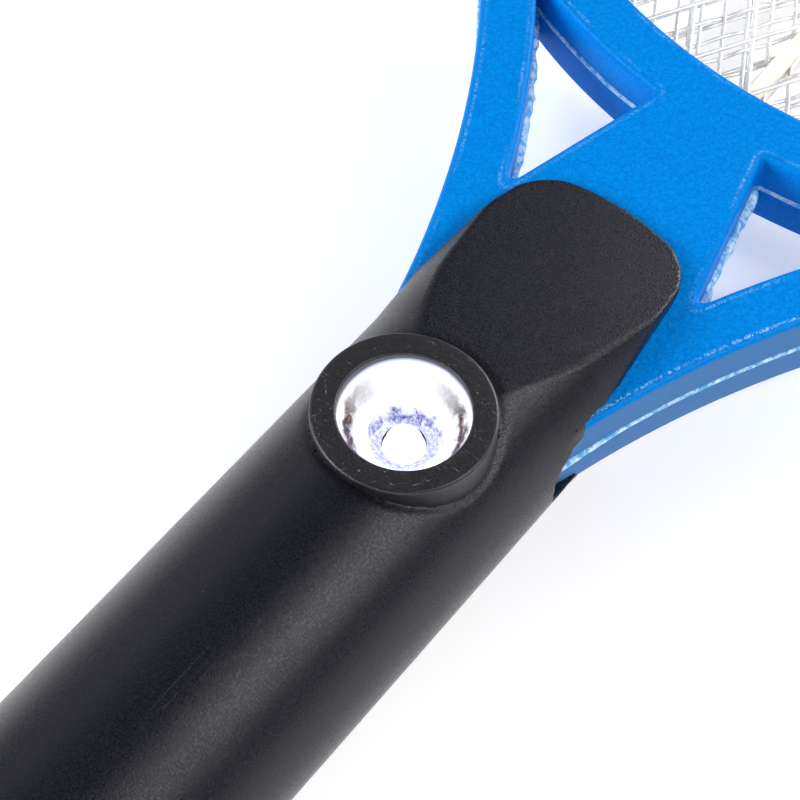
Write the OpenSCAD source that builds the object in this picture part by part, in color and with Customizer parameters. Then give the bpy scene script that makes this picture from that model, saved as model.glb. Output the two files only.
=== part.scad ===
// Electric fly swatter: a racket with three wire grids, a torch in the neck and a
// retractable charging plug in the tail. Millimetres, +Z up out of the torch side,
// +Y from the handle towards the hoop, origin under the middle of the whole length.

/* [Overall] */
// Distance from the torch centre to the far end of the hoop
head_len = 290; // [285:1:295]
// Distance from the torch centre to the tail end
tail_len = 200; // [196:1:210]

/* [Handle] */
// Outer radius of the handle
handle_r = 17; // [16.6:0.1:17.6]
// Wall thickness of the handle shells
wall = 2; // [1.8:0.1:2.2]
// Where the handle's side walls stop and the hoop's neck comes out
slot_y = 10.4; // [10:0.1:11]
// How far the tongue reaches over the hoop's neck
tongue_y = 48.2; // [46:0.1:50]
// Height of the flat facet's plane above the axis at the torch centre
facet_z = 17.78; // [17.4:0.01:18]
// Slope of the flat facet, down towards the hoop
facet_tilt = 12.25; // [11.8:0.05:12.6]

/* [Hoop] */
// Half the hoop's outer width
hoop_a = 102; // [100:0.5:104]
// Half the hoop's outer length
hoop_b = 111; // [109:0.5:113]
// Width of the hoop's rim
rim_w = 9; // [8.6:0.1:9.4]
// Thickness of the hoop, both halves together
frame_t = 13.8; // [13.6:0.1:14.2]
// Angle on the hoop's ellipse where the neck's flare leaves it
flare_t = -51.4; // [-53:0.1:-50]
// Radius of the neck's concave flare
flare_r = 155.7; // [150:0.1:160]
// Width of the arms beside the neck's triangular holes
arm_w = 8.3; // [8:0.1:8.8]

/* [Grids] */
// Angle of the grid wires from the long axis
wire_angle = 30; // [28:1:32]
// Pitch of the outer grids' wires
outer_pitch = 9.1; // [8.6:0.1:9.6]
// Width and thickness of the outer grids' wires
outer_wire = 0.9; // [0.8:0.05:1]
// Pitch of the inner grid's wires
inner_pitch = 3.5; // [3.4:0.1:4]
// Radius of the inner grid's wires
inner_wire_r = 0.17; // [0.14:0.01:0.18]

/* [Torch] */
// Outer radius of the torch bezel
bezel_r = 11.85; // [11.7:0.05:11.9]
// Radius of the bezel's opening
bezel_open_r = 8.5; // [8.3:0.05:8.6]
// Height of the bezel's face above the handle axis
bezel_z = 17.4; // [17.2:0.05:17.6]
// Tilt of the bezel's face towards the hoop
bezel_tilt = 3.9; // [3.5:0.1:4.5]

/* [Controls] */
// Distance of the zap button behind the torch
button_y = -82; // [-83:0.5:-81]
// Radius of the zap button
button_r = 6.5; // [6.3:0.1:6.6]
// Travel of the zap button
button_travel = 1.5; // [1.2:0.1:1.5]
// Distance of the power switch, in its off position, behind the torch
switch_y = -109; // [-109.5:0.5:-108.5]
// Travel of the power switch knob over its three positions
switch_travel = 6; // [5:0.5:6]

/* [Plug] */
// Radius of a plug pin
pin_r = 2; // [1.95:0.01:2]
// Distance between the two plug pins
pin_spacing = 19; // [18.6:0.1:19]
// Travel of the plug carriage
plug_travel = 20; // [19:0.5:20]

/* [Hidden] */

$fn = 64;
tiny = 0.05;
gap = 0.3;
big = 60;

// The torch centre on the handle axis, from which every sub-part is placed
torch_at = [0, (tail_len - head_len) / 2, handle_r];

half_t = frame_t / 2;
inner_r = handle_r - wall;
hoop_cy = head_len - hoop_b;
ring_t = 2;                      // wall of the hollow hoop halves
stub_w = 12.8;                   // half width of the neck inside the handle
stub_y = 8;                      // where the neck starts inside the handle
step_y = slot_y + gap;           // where the neck widens outside the handle
tongue_z = half_t + tiny;        // underside of the tongue, on the hoop's face
tongue_start = 12.3;

// Levels of the layers inside the hoop, from the seam outwards
carrier_z = [0.4, 2.6];
grid_z = 2.7;
lip_z = grid_z + outer_wire + tiny;
carrier_w = 3.6;
roof_z = half_t - ring_t;

// Hoop screws, as angles on the hoop's ellipse
hoop_screw_t = [for (k = [0 : 7]) -50 + 40 * k];
hoop_screw_off = -3;
// Handle screws, as [x, y]; the last two clamp the neck between the tongues
body_screw_xy = [[11.8, -142], [-11.8, -142], [11.8, -66], [-11.8, -66]];
neck_screw_xy = [[8, 28], [-8, 28]];
screw_r = 1.1;
screw_hole_r = 1.3;
pilot_r = 1.15;
head_r = 2.2;
head_hole_r = 2.4;

tail_face = -tail_len;
cap_t = 3.5;
shell_end = tail_face + cap_t;

// Levels inside the handle, above or below its axis
board_t = 1.2;
main_top = -6;
control_top = 7.2;
main_y = [-108, -16];
control_y = [-114, -72];
board_w = 18;

button_top = 18.2;
button_flange_r = 7.6;
button_flange = [11.2, 12.4];
button_recess = 1.45;            // depth of the hollow over the switch's plunger
plunger_top = button_flange[0] + button_recess - button_travel - 0.15;
tact_h = 2.2;

block = [26, 12, 9];
block_y = tail_face + 23.5;      // outer face of the plug block when stowed
knob_y = block_y + block.y / 2;
pin_len = 23;

battery_r = 7;
battery_y = [-163, -113];
battery_z = -5.8;
contact_y = [-186, -150];
contact_z = -5.5;
lanyard_y = -188;
lanyard_z = -12.5;
lanyard_r = 1.6;

// Straight inner edge of a neck hole, from its corner by the tongue to the one by the hoop
neck_hole_edge = [[15.87, 42], [9, 69]];

// Indicator lamps, and posts under the upper shell that hold the control board
led_xy = [4, -94];
led_r = 1.5;
post_r = 1.5;
post_x = 6.5;
post_y = [-112, -99];
rib_t = 1.6;

reflector_z = [8.6, 15.7];
reflector_r = [2.9, 8.7];

// ---------------------------------------------------------------- helpers

function unit(v) = v / norm(v);
// The mirror image of a line of points, in the opposite order
function flip(pts) = [for (i = [len(pts) - 1 : -1 : 0]) [-pts[i].x, pts[i].y]];

// A point on the hoop's outer ellipse at angle t, moved off outwards along its normal
function rim_pt(t, off) =
    let (n = unit([cos(t) / hoop_a, sin(t) / hoop_b]))
    [hoop_a * cos(t) + off * n.x, hoop_cy + hoop_b * sin(t) + off * n.y];
function rim(off, steps = 96) = [for (k = [0 : steps - 1]) rim_pt(360 * k / steps, off)];

flare_c = rim_pt(flare_t, flare_r);
function flare_angle(y) = 180 - asin((y - flare_c.y) / flare_r);
function flare_pt(a, off) = flare_c + (flare_r + off) * [cos(a), sin(a)];

// Right half of the hoop's outline from neck to hoop, then the whole of it, inset all round
function right_side(inset) =
    let (p0 = rim_pt(flare_t, 0) - flare_c, a0 = atan2(p0.y, p0.x),
         a1 = flare_angle(step_y + inset))
    [[stub_w - inset, stub_y], [stub_w - inset, step_y + inset],
     for (k = [0 : 16]) flare_pt(a1 + (a0 - a1) * k / 16, inset),
     for (k = [1 : 48]) rim_pt(flare_t + (90 - flare_t) * k / 48, -inset)];
function outline(inset) =
    let (right = right_side(inset), below_top = [for (i = [0 : len(right) - 2]) right[i]])
    concat(right, flip(below_top));

// Part of the chord along a wire's direction that lies inside an ellipse
function chord(s, angle, a, b) =
    let (u = [sin(angle), cos(angle)], n = [cos(angle), -sin(angle)],
         qa = pow(u.x / a, 2) + pow(u.y / b, 2),
         qb = s * (n.x * u.x / (a * a) + n.y * u.y / (b * b)),
         qc = s * s * (pow(n.x / a, 2) + pow(n.y / b, 2)) - 1,
         d = qb * qb - qa * qc)
    d > 0.02 * qa ? [(-qb - sqrt(d)) / qa, (-qb + sqrt(d)) / qa] : [0, 0];

module along_y(y0, y1, r) {
    translate([0, y0, 0]) rotate([-90, 0, 0]) cylinder(r = r, h = y1 - y0);
}

module slab(x, y, z) {
    translate([x[0], y[0], z[0]]) cube([x[1] - x[0], y[1] - y[0], z[1] - z[0]]);
}

// A round tube swept along a route, its side carried from ring to ring
function tangent(p, i) = unit(p[min(i + 1, len(p) - 1)] - p[max(i - 1, 0)]);
function carry(u, t) = unit(u - (u * t) * t);
function sides(p, first) =
    [for (i = 0, u = carry(first, tangent(p, 0)); i < len(p);
          i = i + 1, u = i < len(p) ? carry(u, tangent(p, i)) : u) u];

module swept(p, r, n = 8, first = [0.31, 0.42, 0.85]) {
    u = sides(p, first);
    ring = [for (i = [0 : len(p) - 1], k = [0 : n - 1])
        let (a = 360 * k / n, t = tangent(p, i))
        p[i] + r * (cos(a) * u[i] + sin(a) * cross(t, u[i]))];
    last = (len(p) - 1) * n;
    polyhedron(ring, [
        [for (k = [0 : n - 1]) k],
        [for (k = [n - 1 : -1 : 0]) last + k],
        for (i = [0 : len(p) - 2], k = [0 : n - 1])
            [i * n + k, (i + 1) * n + k, (i + 1) * n + (k + 1) % n, i * n + (k + 1) % n]]);
}

// Points of a smooth curve through the given ones
function through(a, b, c, d, t) = 0.5 * (2 * b + t * (c - a)
    + t * t * (2 * a - 5 * b + 4 * c - d) + t * t * t * (3 * b - a - 3 * c + d));
function route(p, n = 4) =
    [for (i = [0 : len(p) - 2], k = [0 : n - 1])
        through(p[max(i - 1, 0)], p[i], p[i + 1], p[min(i + 2, len(p) - 1)], k / n),
     p[len(p) - 1]];

module lead(p) { swept(route(p), 0.6); }

// ---------------------------------------------------------------- hoop

// A triangular hole beside the neck, grown all round
module neck_hole(grow = 0) {
    low = neck_hole_edge[0] - [grow, 0];
    high = neck_hole_edge[1] - [grow, -grow];
    difference() {
        polygon([low, high, [high.x, hoop_cy], [big, hoop_cy], [big, low.y - 2 * grow],
                 [low.x, low.y - 2 * grow]]);
        polygon(rim(-grow));
        translate(flare_c) circle(r = flare_r + arm_w - grow, $fn = 128);
    }
}

module both_sides() {
    children();
    mirror([1, 0, 0]) children();
}

// One moulded half of the hoop and neck, hollow towards the seam at z = 0
module frame_half(screw_entry) {
    difference() {
        linear_extrude(half_t) difference() {
            polygon(outline(0));
            polygon(rim(-rim_w));
            both_sides() neck_hole();
        }
        translate([0, 0, -1]) linear_extrude(roof_z + 1) difference() {
            polygon(outline(ring_t));
            polygon(rim(-rim_w + carrier_w + gap));
            both_sides() neck_hole(ring_t);
            for (p = neck_screw_xy) translate(p) circle(r = 3);
            for (t = hoop_screw_t) translate(rim_pt(t, hoop_screw_off)) circle(r = 2);
        }
        translate([0, 0, -1]) linear_extrude(lip_z + 1) difference() {
            polygon(rim(-rim_w + carrier_w + gap + tiny));
            polygon(rim(-rim_w - 1));
            for (t = hoop_screw_t) translate(rim_pt(t, hoop_screw_off)) circle(r = 2);
        }
        slab([-6, 6], [stub_y - 1, stub_y + ring_t + 1], [-1, roof_z - 1]);
        for (p = neck_screw_xy)
            translate([p.x, p.y, -1]) cylinder(r = screw_hole_r, h = half_t + 2);
        for (t = hoop_screw_t) {
            p = rim_pt(t, hoop_screw_off);
            translate([p.x, p.y, -1])
                cylinder(r = screw_entry ? 1.05 : 0.95, h = screw_entry ? half_t + 2 : roof_z + 1);
            if (screw_entry)
                translate([p.x, p.y, half_t - 1.7]) cylinder(r = 2, h = 3);
        }
    }
}

module front_frame() {
    color([0, 0.5, 0.86]) translate(torch_at) frame_half(false);
}

module rear_frame() {
    color([0, 0.5, 0.86]) translate(torch_at) mirror([0, 0, 1]) frame_half(true);
}

// Flat net of crossing bars inside a rim band
module outer_grid() {
    band = -rim_w + carrier_w;
    count = floor(hoop_b / outer_pitch);
    linear_extrude(outer_wire) {
        intersection() {
            polygon(rim(band - 1));
            translate([0, hoop_cy]) for (s = [-1, 1], k = [-count : count])
                rotate(s * wire_angle) translate([(k + 0.5) * outer_pitch, 0])
                    square([outer_wire, 3 * hoop_b], center = true);
        }
        difference() {
            polygon(rim(band));
            polygon(rim(-rim_w - 0.8));
        }
    }
}

module front_grid() {
    color([0.86, 0.86, 0.84]) translate(torch_at) translate([0, 0, grid_z]) outer_grid();
}

module rear_grid() {
    color([0.86, 0.86, 0.84]) translate(torch_at) mirror([0, 0, 1])
        translate([0, 0, grid_z]) outer_grid();
}

// Two crossing layers of fine wires, clamped at their ends between the carriers
module inner_grid() {
    a = hoop_a - rim_w + carrier_w - 1;
    b = hoop_b - rim_w + carrier_w - 1;
    count = floor(b / inner_pitch);
    color([0.9, 0.9, 0.88]) translate(torch_at) translate([0, hoop_cy, 0])
        for (s = [-1, 1], k = [-count : count]) {
            c = chord(k * inner_pitch, s * wire_angle, a, b);
            if (c[1] - c[0] > 8)
                translate([0, 0, s * (inner_wire_r + 0.01)]) rotate(-s * wire_angle)
                    translate([k * inner_pitch, c[0], 0]) rotate([-90, 0, 0])
                        cylinder(r = inner_wire_r, h = c[1] - c[0], $fn = 16);
        }
}

// White insulating ring with a rib along its middle, on one side of the inner grid
module carrier() {
    rib = 2.2;
    translate([0, 0, carrier_z[0]]) linear_extrude(carrier_z[1] - carrier_z[0]) {
        difference() {
            polygon(rim(-rim_w + carrier_w));
            polygon(rim(-rim_w - 0.9));
        }
        translate([-rib / 2, hoop_cy - hoop_b + rim_w - 1])
            square([rib, 2 * (hoop_b - rim_w + 1)]);
    }
}

module front_carrier() {
    color([0.96, 0.94, 0.88]) translate(torch_at) carrier();
}

module rear_carrier() {
    color([0.96, 0.94, 0.88]) translate(torch_at) mirror([0, 0, 1]) carrier();
}

// A cross-recessed screw with its head's underside at z = 0 and its shank upwards
module screw(shank_r, head, head_h, length) {
    difference() {
        union() {
            translate([0, 0, -head_h]) cylinder(r = head, h = head_h);
            cylinder(r = shank_r, h = length);
        }
        for (a = [0, 90]) rotate(a)
            slab([-head * 0.6, head * 0.6], [-head * 0.14, head * 0.14], [-head_h - 1, -head_h / 2]);
    }
}

module hoop_screws() {
    color("silver") translate(torch_at) for (t = hoop_screw_t) {
        p = rim_pt(t, hoop_screw_off);
        translate([p.x, p.y, -half_t + 1.7]) screw(0.9, 1.8, 1.2, half_t - 1.7 + 4);
    }
}

// ---------------------------------------------------------------- handle shells

// Space above the flat facet that runs down from the torch to the tongue's tip
module above_facet(depth) {
    translate([0, 0, facet_z]) rotate([-facet_tilt, 0, 0])
        slab([-big, big], [0, 3 * big], [0, depth]);
}

// Plan of the tongue that lies on the hoop's neck
module tongue_plan() {
    corner = 5;
    side = 13.9;
    crown = 0.9;
    square_y = tongue_y - corner - crown;
    right = [[handle_r, tongue_start], [handle_r - 1.6, 35], [side + 0.3, square_y - 3],
        for (a = [0 : 15 : 90]) [side - corner + corner * cos(a), square_y + corner * sin(a)]];
    polygon(concat(right, [[0, tongue_y]], flip(right)));
}

// A half of the handle, above the seam: tube, tongue and screw bosses
module shell_half() {
    difference() {
        union() {
            difference() {
                along_y(shell_end, tongue_start + 0.1, handle_r);
                along_y(shell_end - 1, tongue_start + 1, inner_r);
            }
            intersection() {
                along_y(tongue_start, tongue_y + 1, handle_r);
                translate([0, 0, tongue_z]) linear_extrude(big) tongue_plan();
            }
            // the facet's own wall, where it dips under the tube's
            intersection() {
                along_y(2, tongue_start + 0.1, handle_r - 0.5);
                translate([0, 0, facet_z]) rotate([-facet_tilt, 0, 0])
                    slab([-big, big], [0, big], [-wall, 1]);
            }
            intersection() {
                along_y(shell_end, tongue_start, handle_r - 0.5);
                for (p = body_screw_xy)
                    translate([p.x, p.y, 0]) cylinder(r = 2.3, h = handle_r);
            }
        }
        slab([-big, big], [tail_face - 1, big], [-big, 0]);
        slab([-big, big], [slot_y, big], [-1, tongue_z]);
        above_facet(big);
    }
}

module upper_shell() {
    color([0.13, 0.13, 0.14]) translate(torch_at) difference() {
        union() {
            shell_half();
            // posts that hold the control board
            for (x = [-post_x, post_x], y = post_y) translate([x, y, control_top])
                cylinder(r = post_r,
                         h = sqrt(pow(inner_r + 0.5, 2) - pow(post_x + post_r, 2)) - control_top);
        }
        translate([0, 0, 5]) cylinder(r = bezel_r + 0.15, h = big);
        translate([0, button_y, 8]) cylinder(r = button_r + gap, h = big);
        slab([-1.9, 1.9], [switch_y - 2.4, switch_y + switch_travel + 2.4], [8, big]);
        slab([-1.9, 1.9], [knob_y - plug_travel - 2.4, knob_y + 2.4], [8, big]);
        for (s = [-1, 1]) translate([s * led_xy.x, led_xy.y, 8]) cylinder(r = led_r + 0.1, h = big);
        for (p = body_screw_xy) translate([p.x, p.y, -1]) cylinder(r = pilot_r, h = 7);
        for (p = neck_screw_xy) translate([p.x, p.y, 0]) cylinder(r = pilot_r, h = 10.7);
    }
}

module lower_shell() {
    color([0.13, 0.13, 0.14]) translate(torch_at) difference() {
        union() {
            mirror([0, 0, 1]) shell_half();
            intersection() {
                along_y(shell_end, slot_y, handle_r - 0.5);
                union() {
                    // ribs under the main board and the battery
                    for (y = [-100, -60, -22])
                        slab([-10, 10], [y, y + rib_t], [-big, main_top - board_t]);
                    difference() {
                        for (y = [-156, -124]) slab([-9, 9], [y, y + rib_t], [-big, -8]);
                        translate([0, 0, battery_z])
                            along_y(battery_y[0], battery_y[1], battery_r + 0.1);
                    }
                    // rails under the charging contacts and the plug block
                    for (s = [-1, 1]) {
                        slab([s * 9.5 - 1.5, s * 9.5 + 1.5], contact_y, [-big, contact_z]);
                        slab([s * 4 - 1, s * 4 + 1], [-183, -165], [-big, -block.z / 2 - gap]);
                    }
                    // solid bar round the lanyard hole
                    slab([-big, big], [lanyard_y - 4.5, lanyard_y + 4.5], [-big, -9.3]);
                }
            }
        }
        translate([-big, lanyard_y, lanyard_z]) rotate([0, 90, 0])
            cylinder(r = lanyard_r, h = 2 * big);
        for (p = body_screw_xy) translate([p.x, p.y, -big]) {
            cylinder(r = screw_hole_r, h = 2 * big);
            cylinder(r = head_hole_r, h = big - 7);
        }
        for (p = neck_screw_xy) translate([p.x, p.y, -big]) {
            cylinder(r = screw_hole_r, h = 2 * big);
            cylinder(r = head_hole_r, h = big - 9.4);
        }
    }
}

module handle_screws() {
    color("silver") translate(torch_at) {
        for (p = body_screw_xy) translate([p.x, p.y, -7]) screw(screw_r, head_r, 1.5, 12.5);
        for (p = neck_screw_xy) translate([p.x, p.y, -9.4]) screw(screw_r, head_r, 1.5, 20);
    }
}

// Disc that closes the tail, with holes for the plug pins and two tabs inside the shells
module tail_cap() {
    color([0.13, 0.13, 0.14]) translate(torch_at) difference() {
        union() {
            along_y(tail_face + 1, shell_end, handle_r);
            translate([0, tail_face, 0]) rotate([-90, 0, 0])
                cylinder(r1 = handle_r - 1, r2 = handle_r, h = 1);
            difference() {
                along_y(shell_end - 0.1, shell_end + 3, inner_r - 0.1);
                along_y(shell_end, shell_end + 4, inner_r - wall);
                slab([-big, big], [shell_end, shell_end + 4], [-7, 7]);
            }
        }
        for (x = [-1, 1] * pin_spacing / 2) translate([x, 0, 0])
            along_y(tail_face - 1, shell_end + 1, pin_r + gap);
    }
}

// ---------------------------------------------------------------- torch

module torch_bezel() {
    color([0.08, 0.08, 0.09]) translate(torch_at) difference() {
        translate([0, 0, 7.2]) cylinder(r = bezel_r, h = 12, $fn = 96);
        translate([0, 0, 5]) cylinder(r = bezel_open_r, h = 16, $fn = 96);
        translate([0, 0, 5]) cylinder(r = 10.6, h = reflector_z[1] + tiny - 5, $fn = 96);
        translate([0, 0, bezel_z]) rotate([-bezel_tilt, 0, 0])
            slab([-big, big], [-big, big], [0, big]);
    }
}

// Polished parabolic cup with a flange under the bezel's lip
module reflector() {
    steps = 12;
    shell = 0.7;
    focal = (pow(reflector_r[1], 2) - pow(reflector_r[0], 2)) / (reflector_z[1] - reflector_z[0]);
    function cup(k, off) = let (z = reflector_z[0] + (reflector_z[1] - reflector_z[0]) * k / steps)
        [sqrt(pow(reflector_r[0], 2) + focal * (z - reflector_z[0])) + off, z];
    color([0.85, 0.87, 0.9]) translate(torch_at) rotate_extrude($fn = 96)
        polygon([for (k = [0 : steps]) cup(k, 0),
            [10.45, reflector_z[1]], [10.45, reflector_z[1] - 0.9],
            for (k = [steps - 2 : -1 : 0]) cup(k, shell)]);
}

module torch_led() {
    color([0.95, 0.97, 1, 0.8]) translate(torch_at) {
        translate([0, 0, 6.85]) cylinder(r = 2.85, h = 0.95);
        translate([0, 0, 6.85]) cylinder(r = 2.5, h = 3.4);
        translate([0, 0, 10.25]) sphere(r = 2.5);
    }
}

module torch_board() {
    color([0.1, 0.35, 0.15]) translate(torch_at) translate([0, 0, 5.6]) cylinder(r = 7, h = board_t);
}

// ---------------------------------------------------------------- controls

module zap_button() {
    color([0.75, 0.08, 0.07]) translate(torch_at) translate([0, button_y, 0]) difference() {
        union() {
            translate([0, 0, button_flange[0]])
                cylinder(r = button_flange_r, h = button_flange[1] - button_flange[0]);
            translate([0, 0, button_flange[0]])
                cylinder(r = button_r, h = button_top - 0.8 - button_flange[0]);
            translate([0, 0, button_top - 0.8])
                cylinder(r1 = button_r, r2 = button_r - 0.8, h = 0.8);
        }
        translate([0, 0, button_flange[0] - 1]) cylinder(r = 2.6, h = button_recess + 1);
    }
}

module button_spring() {
    turns = 3;
    foot = control_top + 0.27;
    height = button_flange[0] - control_top - 0.54;
    color("silver") translate(torch_at) translate([0, button_y, foot])
        swept([for (k = [0 : 20 * turns]) let (a = 18 * k)
            [4.9 * cos(a), 4.9 * sin(a), height * k / (20 * turns)]], 0.25, 6, [0, 0, 1]);
}

module tact_switch() {
    color([0.2, 0.2, 0.22]) translate(torch_at) translate([0, button_y, control_top]) {
        translate([-3, -3, 0]) cube([6, 6, tact_h]);
        cylinder(r = 1.7, h = plunger_top - control_top);
    }
}

// Cap of a slider that follows the handle's round surface
module slider_cap(y, half_w, half_l, height) {
    intersection() {
        difference() {
            along_y(y - half_l, y + half_l, handle_r + height);
            along_y(y - half_l - 1, y + half_l + 1, handle_r + gap);
        }
        slab([-half_w, half_w], [y - half_l, y + half_l], [0, big]);
    }
}

module switch_knob() {
    color([0.75, 0.08, 0.07]) translate(torch_at) {
        slider_cap(switch_y, 4, 4.5, 1.9);
        slab([-1.6, 1.6], [switch_y - 2, switch_y + 2], [12.2, handle_r + 1]);
    }
}

// Small post of the slide switch that the knob pushes along
module switch_lever() {
    color([0.08, 0.08, 0.08]) translate(torch_at)
        slab([-1, 1], [switch_y - 1, switch_y + 1], [control_top + 2.7, 12.15]);
}

module slide_switch() {
    color([0.6, 0.62, 0.64]) translate(torch_at) difference() {
        slab([-3, 3], [switch_y - 4, switch_y + switch_travel + 4], [control_top, control_top + 4.4]);
        slab([-1.3, 1.3], [switch_y - 1.4, switch_y + switch_travel + 1.4],
             [control_top + 2.4, control_top + 5]);
    }
}

module control_board() {
    color([0.1, 0.35, 0.15]) translate(torch_at)
        slab([-board_w / 2, board_w / 2], control_y, [control_top - board_t, control_top]);
}

module indicator_leds() {
    for (s = [-1, 1]) color(s < 0 ? [0.8, 0.1, 0.1] : [0.1, 0.7, 0.2])
        translate(torch_at) translate([led_xy.x * s, led_xy.y, control_top]) {
            cylinder(r = led_r, h = 8.4);
            translate([0, 0, 8.4]) sphere(r = led_r);
        }
}

// ---------------------------------------------------------------- electronics

module main_board() {
    color([0.1, 0.35, 0.15]) translate(torch_at)
        slab([-board_w / 2, board_w / 2], main_y, [main_top - board_t, main_top]);
}

module transformer_core() {
    color([0.25, 0.25, 0.27]) translate(torch_at) translate([0, -48, main_top]) difference() {
        slab([-6.5, 6.5], [-7, 7], [0, 11]);
        for (s = [-1, 1]) slab([-7, 7], [s * 3.4 - 1.9, s * 3.4 + 1.9], [2.2, 8.8]);
    }
}

module transformer_winding() {
    color([0.85, 0.6, 0.15]) translate(torch_at) translate([0, -48, main_top]) difference() {
        slab([-5.6, 5.6], [-5.2, 5.2], [2.3, 8.7]);
        slab([-6.6, 6.6], [-1.6, 1.6], [2, 9]);
    }
}

module box_capacitor(x, y, w, l, h) {
    slab([x - w / 2, x + w / 2], [y - l / 2, y + l / 2], [main_top, main_top + h]);
}

module hv_capacitor() {
    color([0.72, 0.14, 0.1]) translate(torch_at) box_capacitor(2, -29, 7, 16, 11);
}

module charge_capacitor() {
    color([0.85, 0.65, 0.15]) translate(torch_at) box_capacitor(4, -82, 6, 13, 9);
}

module filter_capacitor() {
    color([0.1, 0.15, 0.4]) translate(torch_at) translate([4, -64, main_top])
        cylinder(r = 4, h = 11);
}

module transistor() {
    color([0.1, 0.1, 0.1]) translate(torch_at) translate([-5, -62, main_top]) {
        slab([-3.9, 3.9], [-1.5, 1.5], [3, 13]);
        for (x = [-2.3, 0, 2.3]) slab([x - 0.4, x + 0.4], [-0.3, 0.3], [0, 3.1]);
    }
}

// A component lying on the board across the handle, with its two legs
module axial(x, y, r, l) {
    translate([x, y, main_top]) {
        translate([-l / 2, 0, r + 0.4]) rotate([0, 90, 0]) cylinder(r = r, h = l);
        for (s = [-1, 1]) {
            translate([s * l / 2 - 0.9 * (1 - s), 0, r + 0.4]) rotate([0, 90, 0])
                cylinder(r = 0.3, h = 1.8);
            slab([s * (l / 2 + 1.5) - 0.3, s * (l / 2 + 1.5) + 0.3], [-0.25, 0.25], [0, r + 0.4]);
        }
    }
}

module resistors() {
    color([0.8, 0.68, 0.5]) translate(torch_at) {
        for (y = [-92, -96, -104]) axial(4.4, y, 0.95, 5);
        axial(-4.6, -104, 0.95, 5);
    }
}

module diodes() {
    color([0.15, 0.15, 0.15]) translate(torch_at) {
        for (y = [-78, -82, -86, -90]) axial(-4.6, y, 1.2, 4.4);
        for (y = [-25, -31]) axial(-5.4, y, 1, 3);
    }
}

module battery() {
    color([0.15, 0.4, 0.65]) translate(torch_at) translate([0, 0, battery_z]) {
        along_y(battery_y[0], battery_y[1] - 1, battery_r);
        along_y(battery_y[1] - 1.1, battery_y[1], 2.8);
    }
}

module battery_tabs() {
    color("silver") translate(torch_at) {
        slab([-3, 3], [battery_y[0] - 0.35, battery_y[0] - tiny], [battery_z - 3, battery_z + 9]);
        slab([-2, 2], [battery_y[1] + tiny, battery_y[1] + 0.35], [battery_z - 2, battery_z + 4]);
    }
}

// ---------------------------------------------------------------- plug

module plug_carriage() {
    color([0.16, 0.16, 0.17]) translate(torch_at) difference() {
        union() {
            slab([-block.x / 2, block.x / 2], [block_y, block_y + block.y],
                 [-block.z / 2, block.z / 2]);
            slab([-1.6, 1.6], [knob_y - 2, knob_y + 2], [block.z / 2 - 1, handle_r + 1]);
            slider_cap(knob_y, 4, 5, 2.1);
        }
        for (x = [-1, 1] * pin_spacing / 2) translate([x, 0, 0])
            along_y(block_y - 1, block_y + block.y + 1, pin_r + 0.02);
    }
}

module plug_pins() {
    color([0.85, 0.78, 0.55]) translate(torch_at)
        for (x = [-1, 1] * pin_spacing / 2) translate([x, 0, 0]) {
            along_y(block_y - pin_len + 1, block_y + block.y, pin_r);
            translate([0, block_y - pin_len + 1, 0]) rotate([90, 0, 0])
                cylinder(r1 = pin_r, r2 = pin_r - 0.7, h = 1);
        }
}

module charge_contacts() {
    color([0.8, 0.65, 0.35]) translate(torch_at) for (s = [-1, 1])
        slab([s * 9.5 - 1.4, s * 9.5 + 1.4], [contact_y[0] + 1, contact_y[1] - 1],
             [contact_z + 0.01, contact_z + 0.41]);
}

// ---------------------------------------------------------------- wiring

module grid_leads() {
    for (s = [-1, 0, 1]) color(s == 0 ? "red" : "black") translate(torch_at)
        lead([[1.6 * s, -17, -5.2], [1.6 * s, -13, -4.6], [1.6 * s, -4, -1.5],
              [1.6 * s, 6, 0.4 * s], [2 * s, 22, s], [2.2 * s, 44, 1.4 * s],
              [2.4 * s, 60, 2 * s], [2.6 * s, 70, 2.2 * s]]);
}

module battery_leads() {
    color("red") translate(torch_at)
        lead([[1, -112, -1.8], [2, -111, 0], [3, -108, -1.5], [3, -106, -4.5], [3, -106, -5.3]]);
    color("black") translate(torch_at)
        lead([[2, -162.4, 2.4], [4, -161, 2.8], [6.4, -158, 3], [7.6, -152, 3], [7.6, -118, 3],
              [6.5, -110, -1], [6, -106.4, -4.4], [6, -106.4, -5.3]]);
}

module torch_leads() {
    for (s = [-1, 1]) color(s < 0 ? "black" : "red") translate(torch_at)
        lead([[4 * s, -5, 4.9], [4.2 * s, -5.6, 3.2], [4.6 * s, -8, 1], [5 * s, -11.5, -0.8],
              [5.3 * s, -15, -2.2], [5.4 * s, -17, -3.6], [5.4 * s, -17.4, -5.3]]);
}

module control_leads() {
    for (k = [0 : 2]) color(["black", "red", "white"][k]) translate(torch_at)
        lead([[-7.8 + 1.6 * k, -74, 5.3], [-7.8 + 1.6 * k, -73.8, 3.8],
              [-7.8 + 1.6 * k, -70.5, 0], [-7.8 + 1.6 * k, -70, -4.4],
              [-7.8 + 1.6 * k, -70, -5.3]]);
}

module charge_leads() {
    for (s = [-1, 1]) color("brown") translate(torch_at)
        lead([[9 * s, -150.2, -4.3], [8.6 * s, -147, -3.6], [8.5 * s, -142, -3.4],
              [8.5 * s, -126, -3.6], [8.2 * s, -110, -4], [7.9 * s, -107, -5], [7.9 * s, -106.6, -5.3]]);
}

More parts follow.
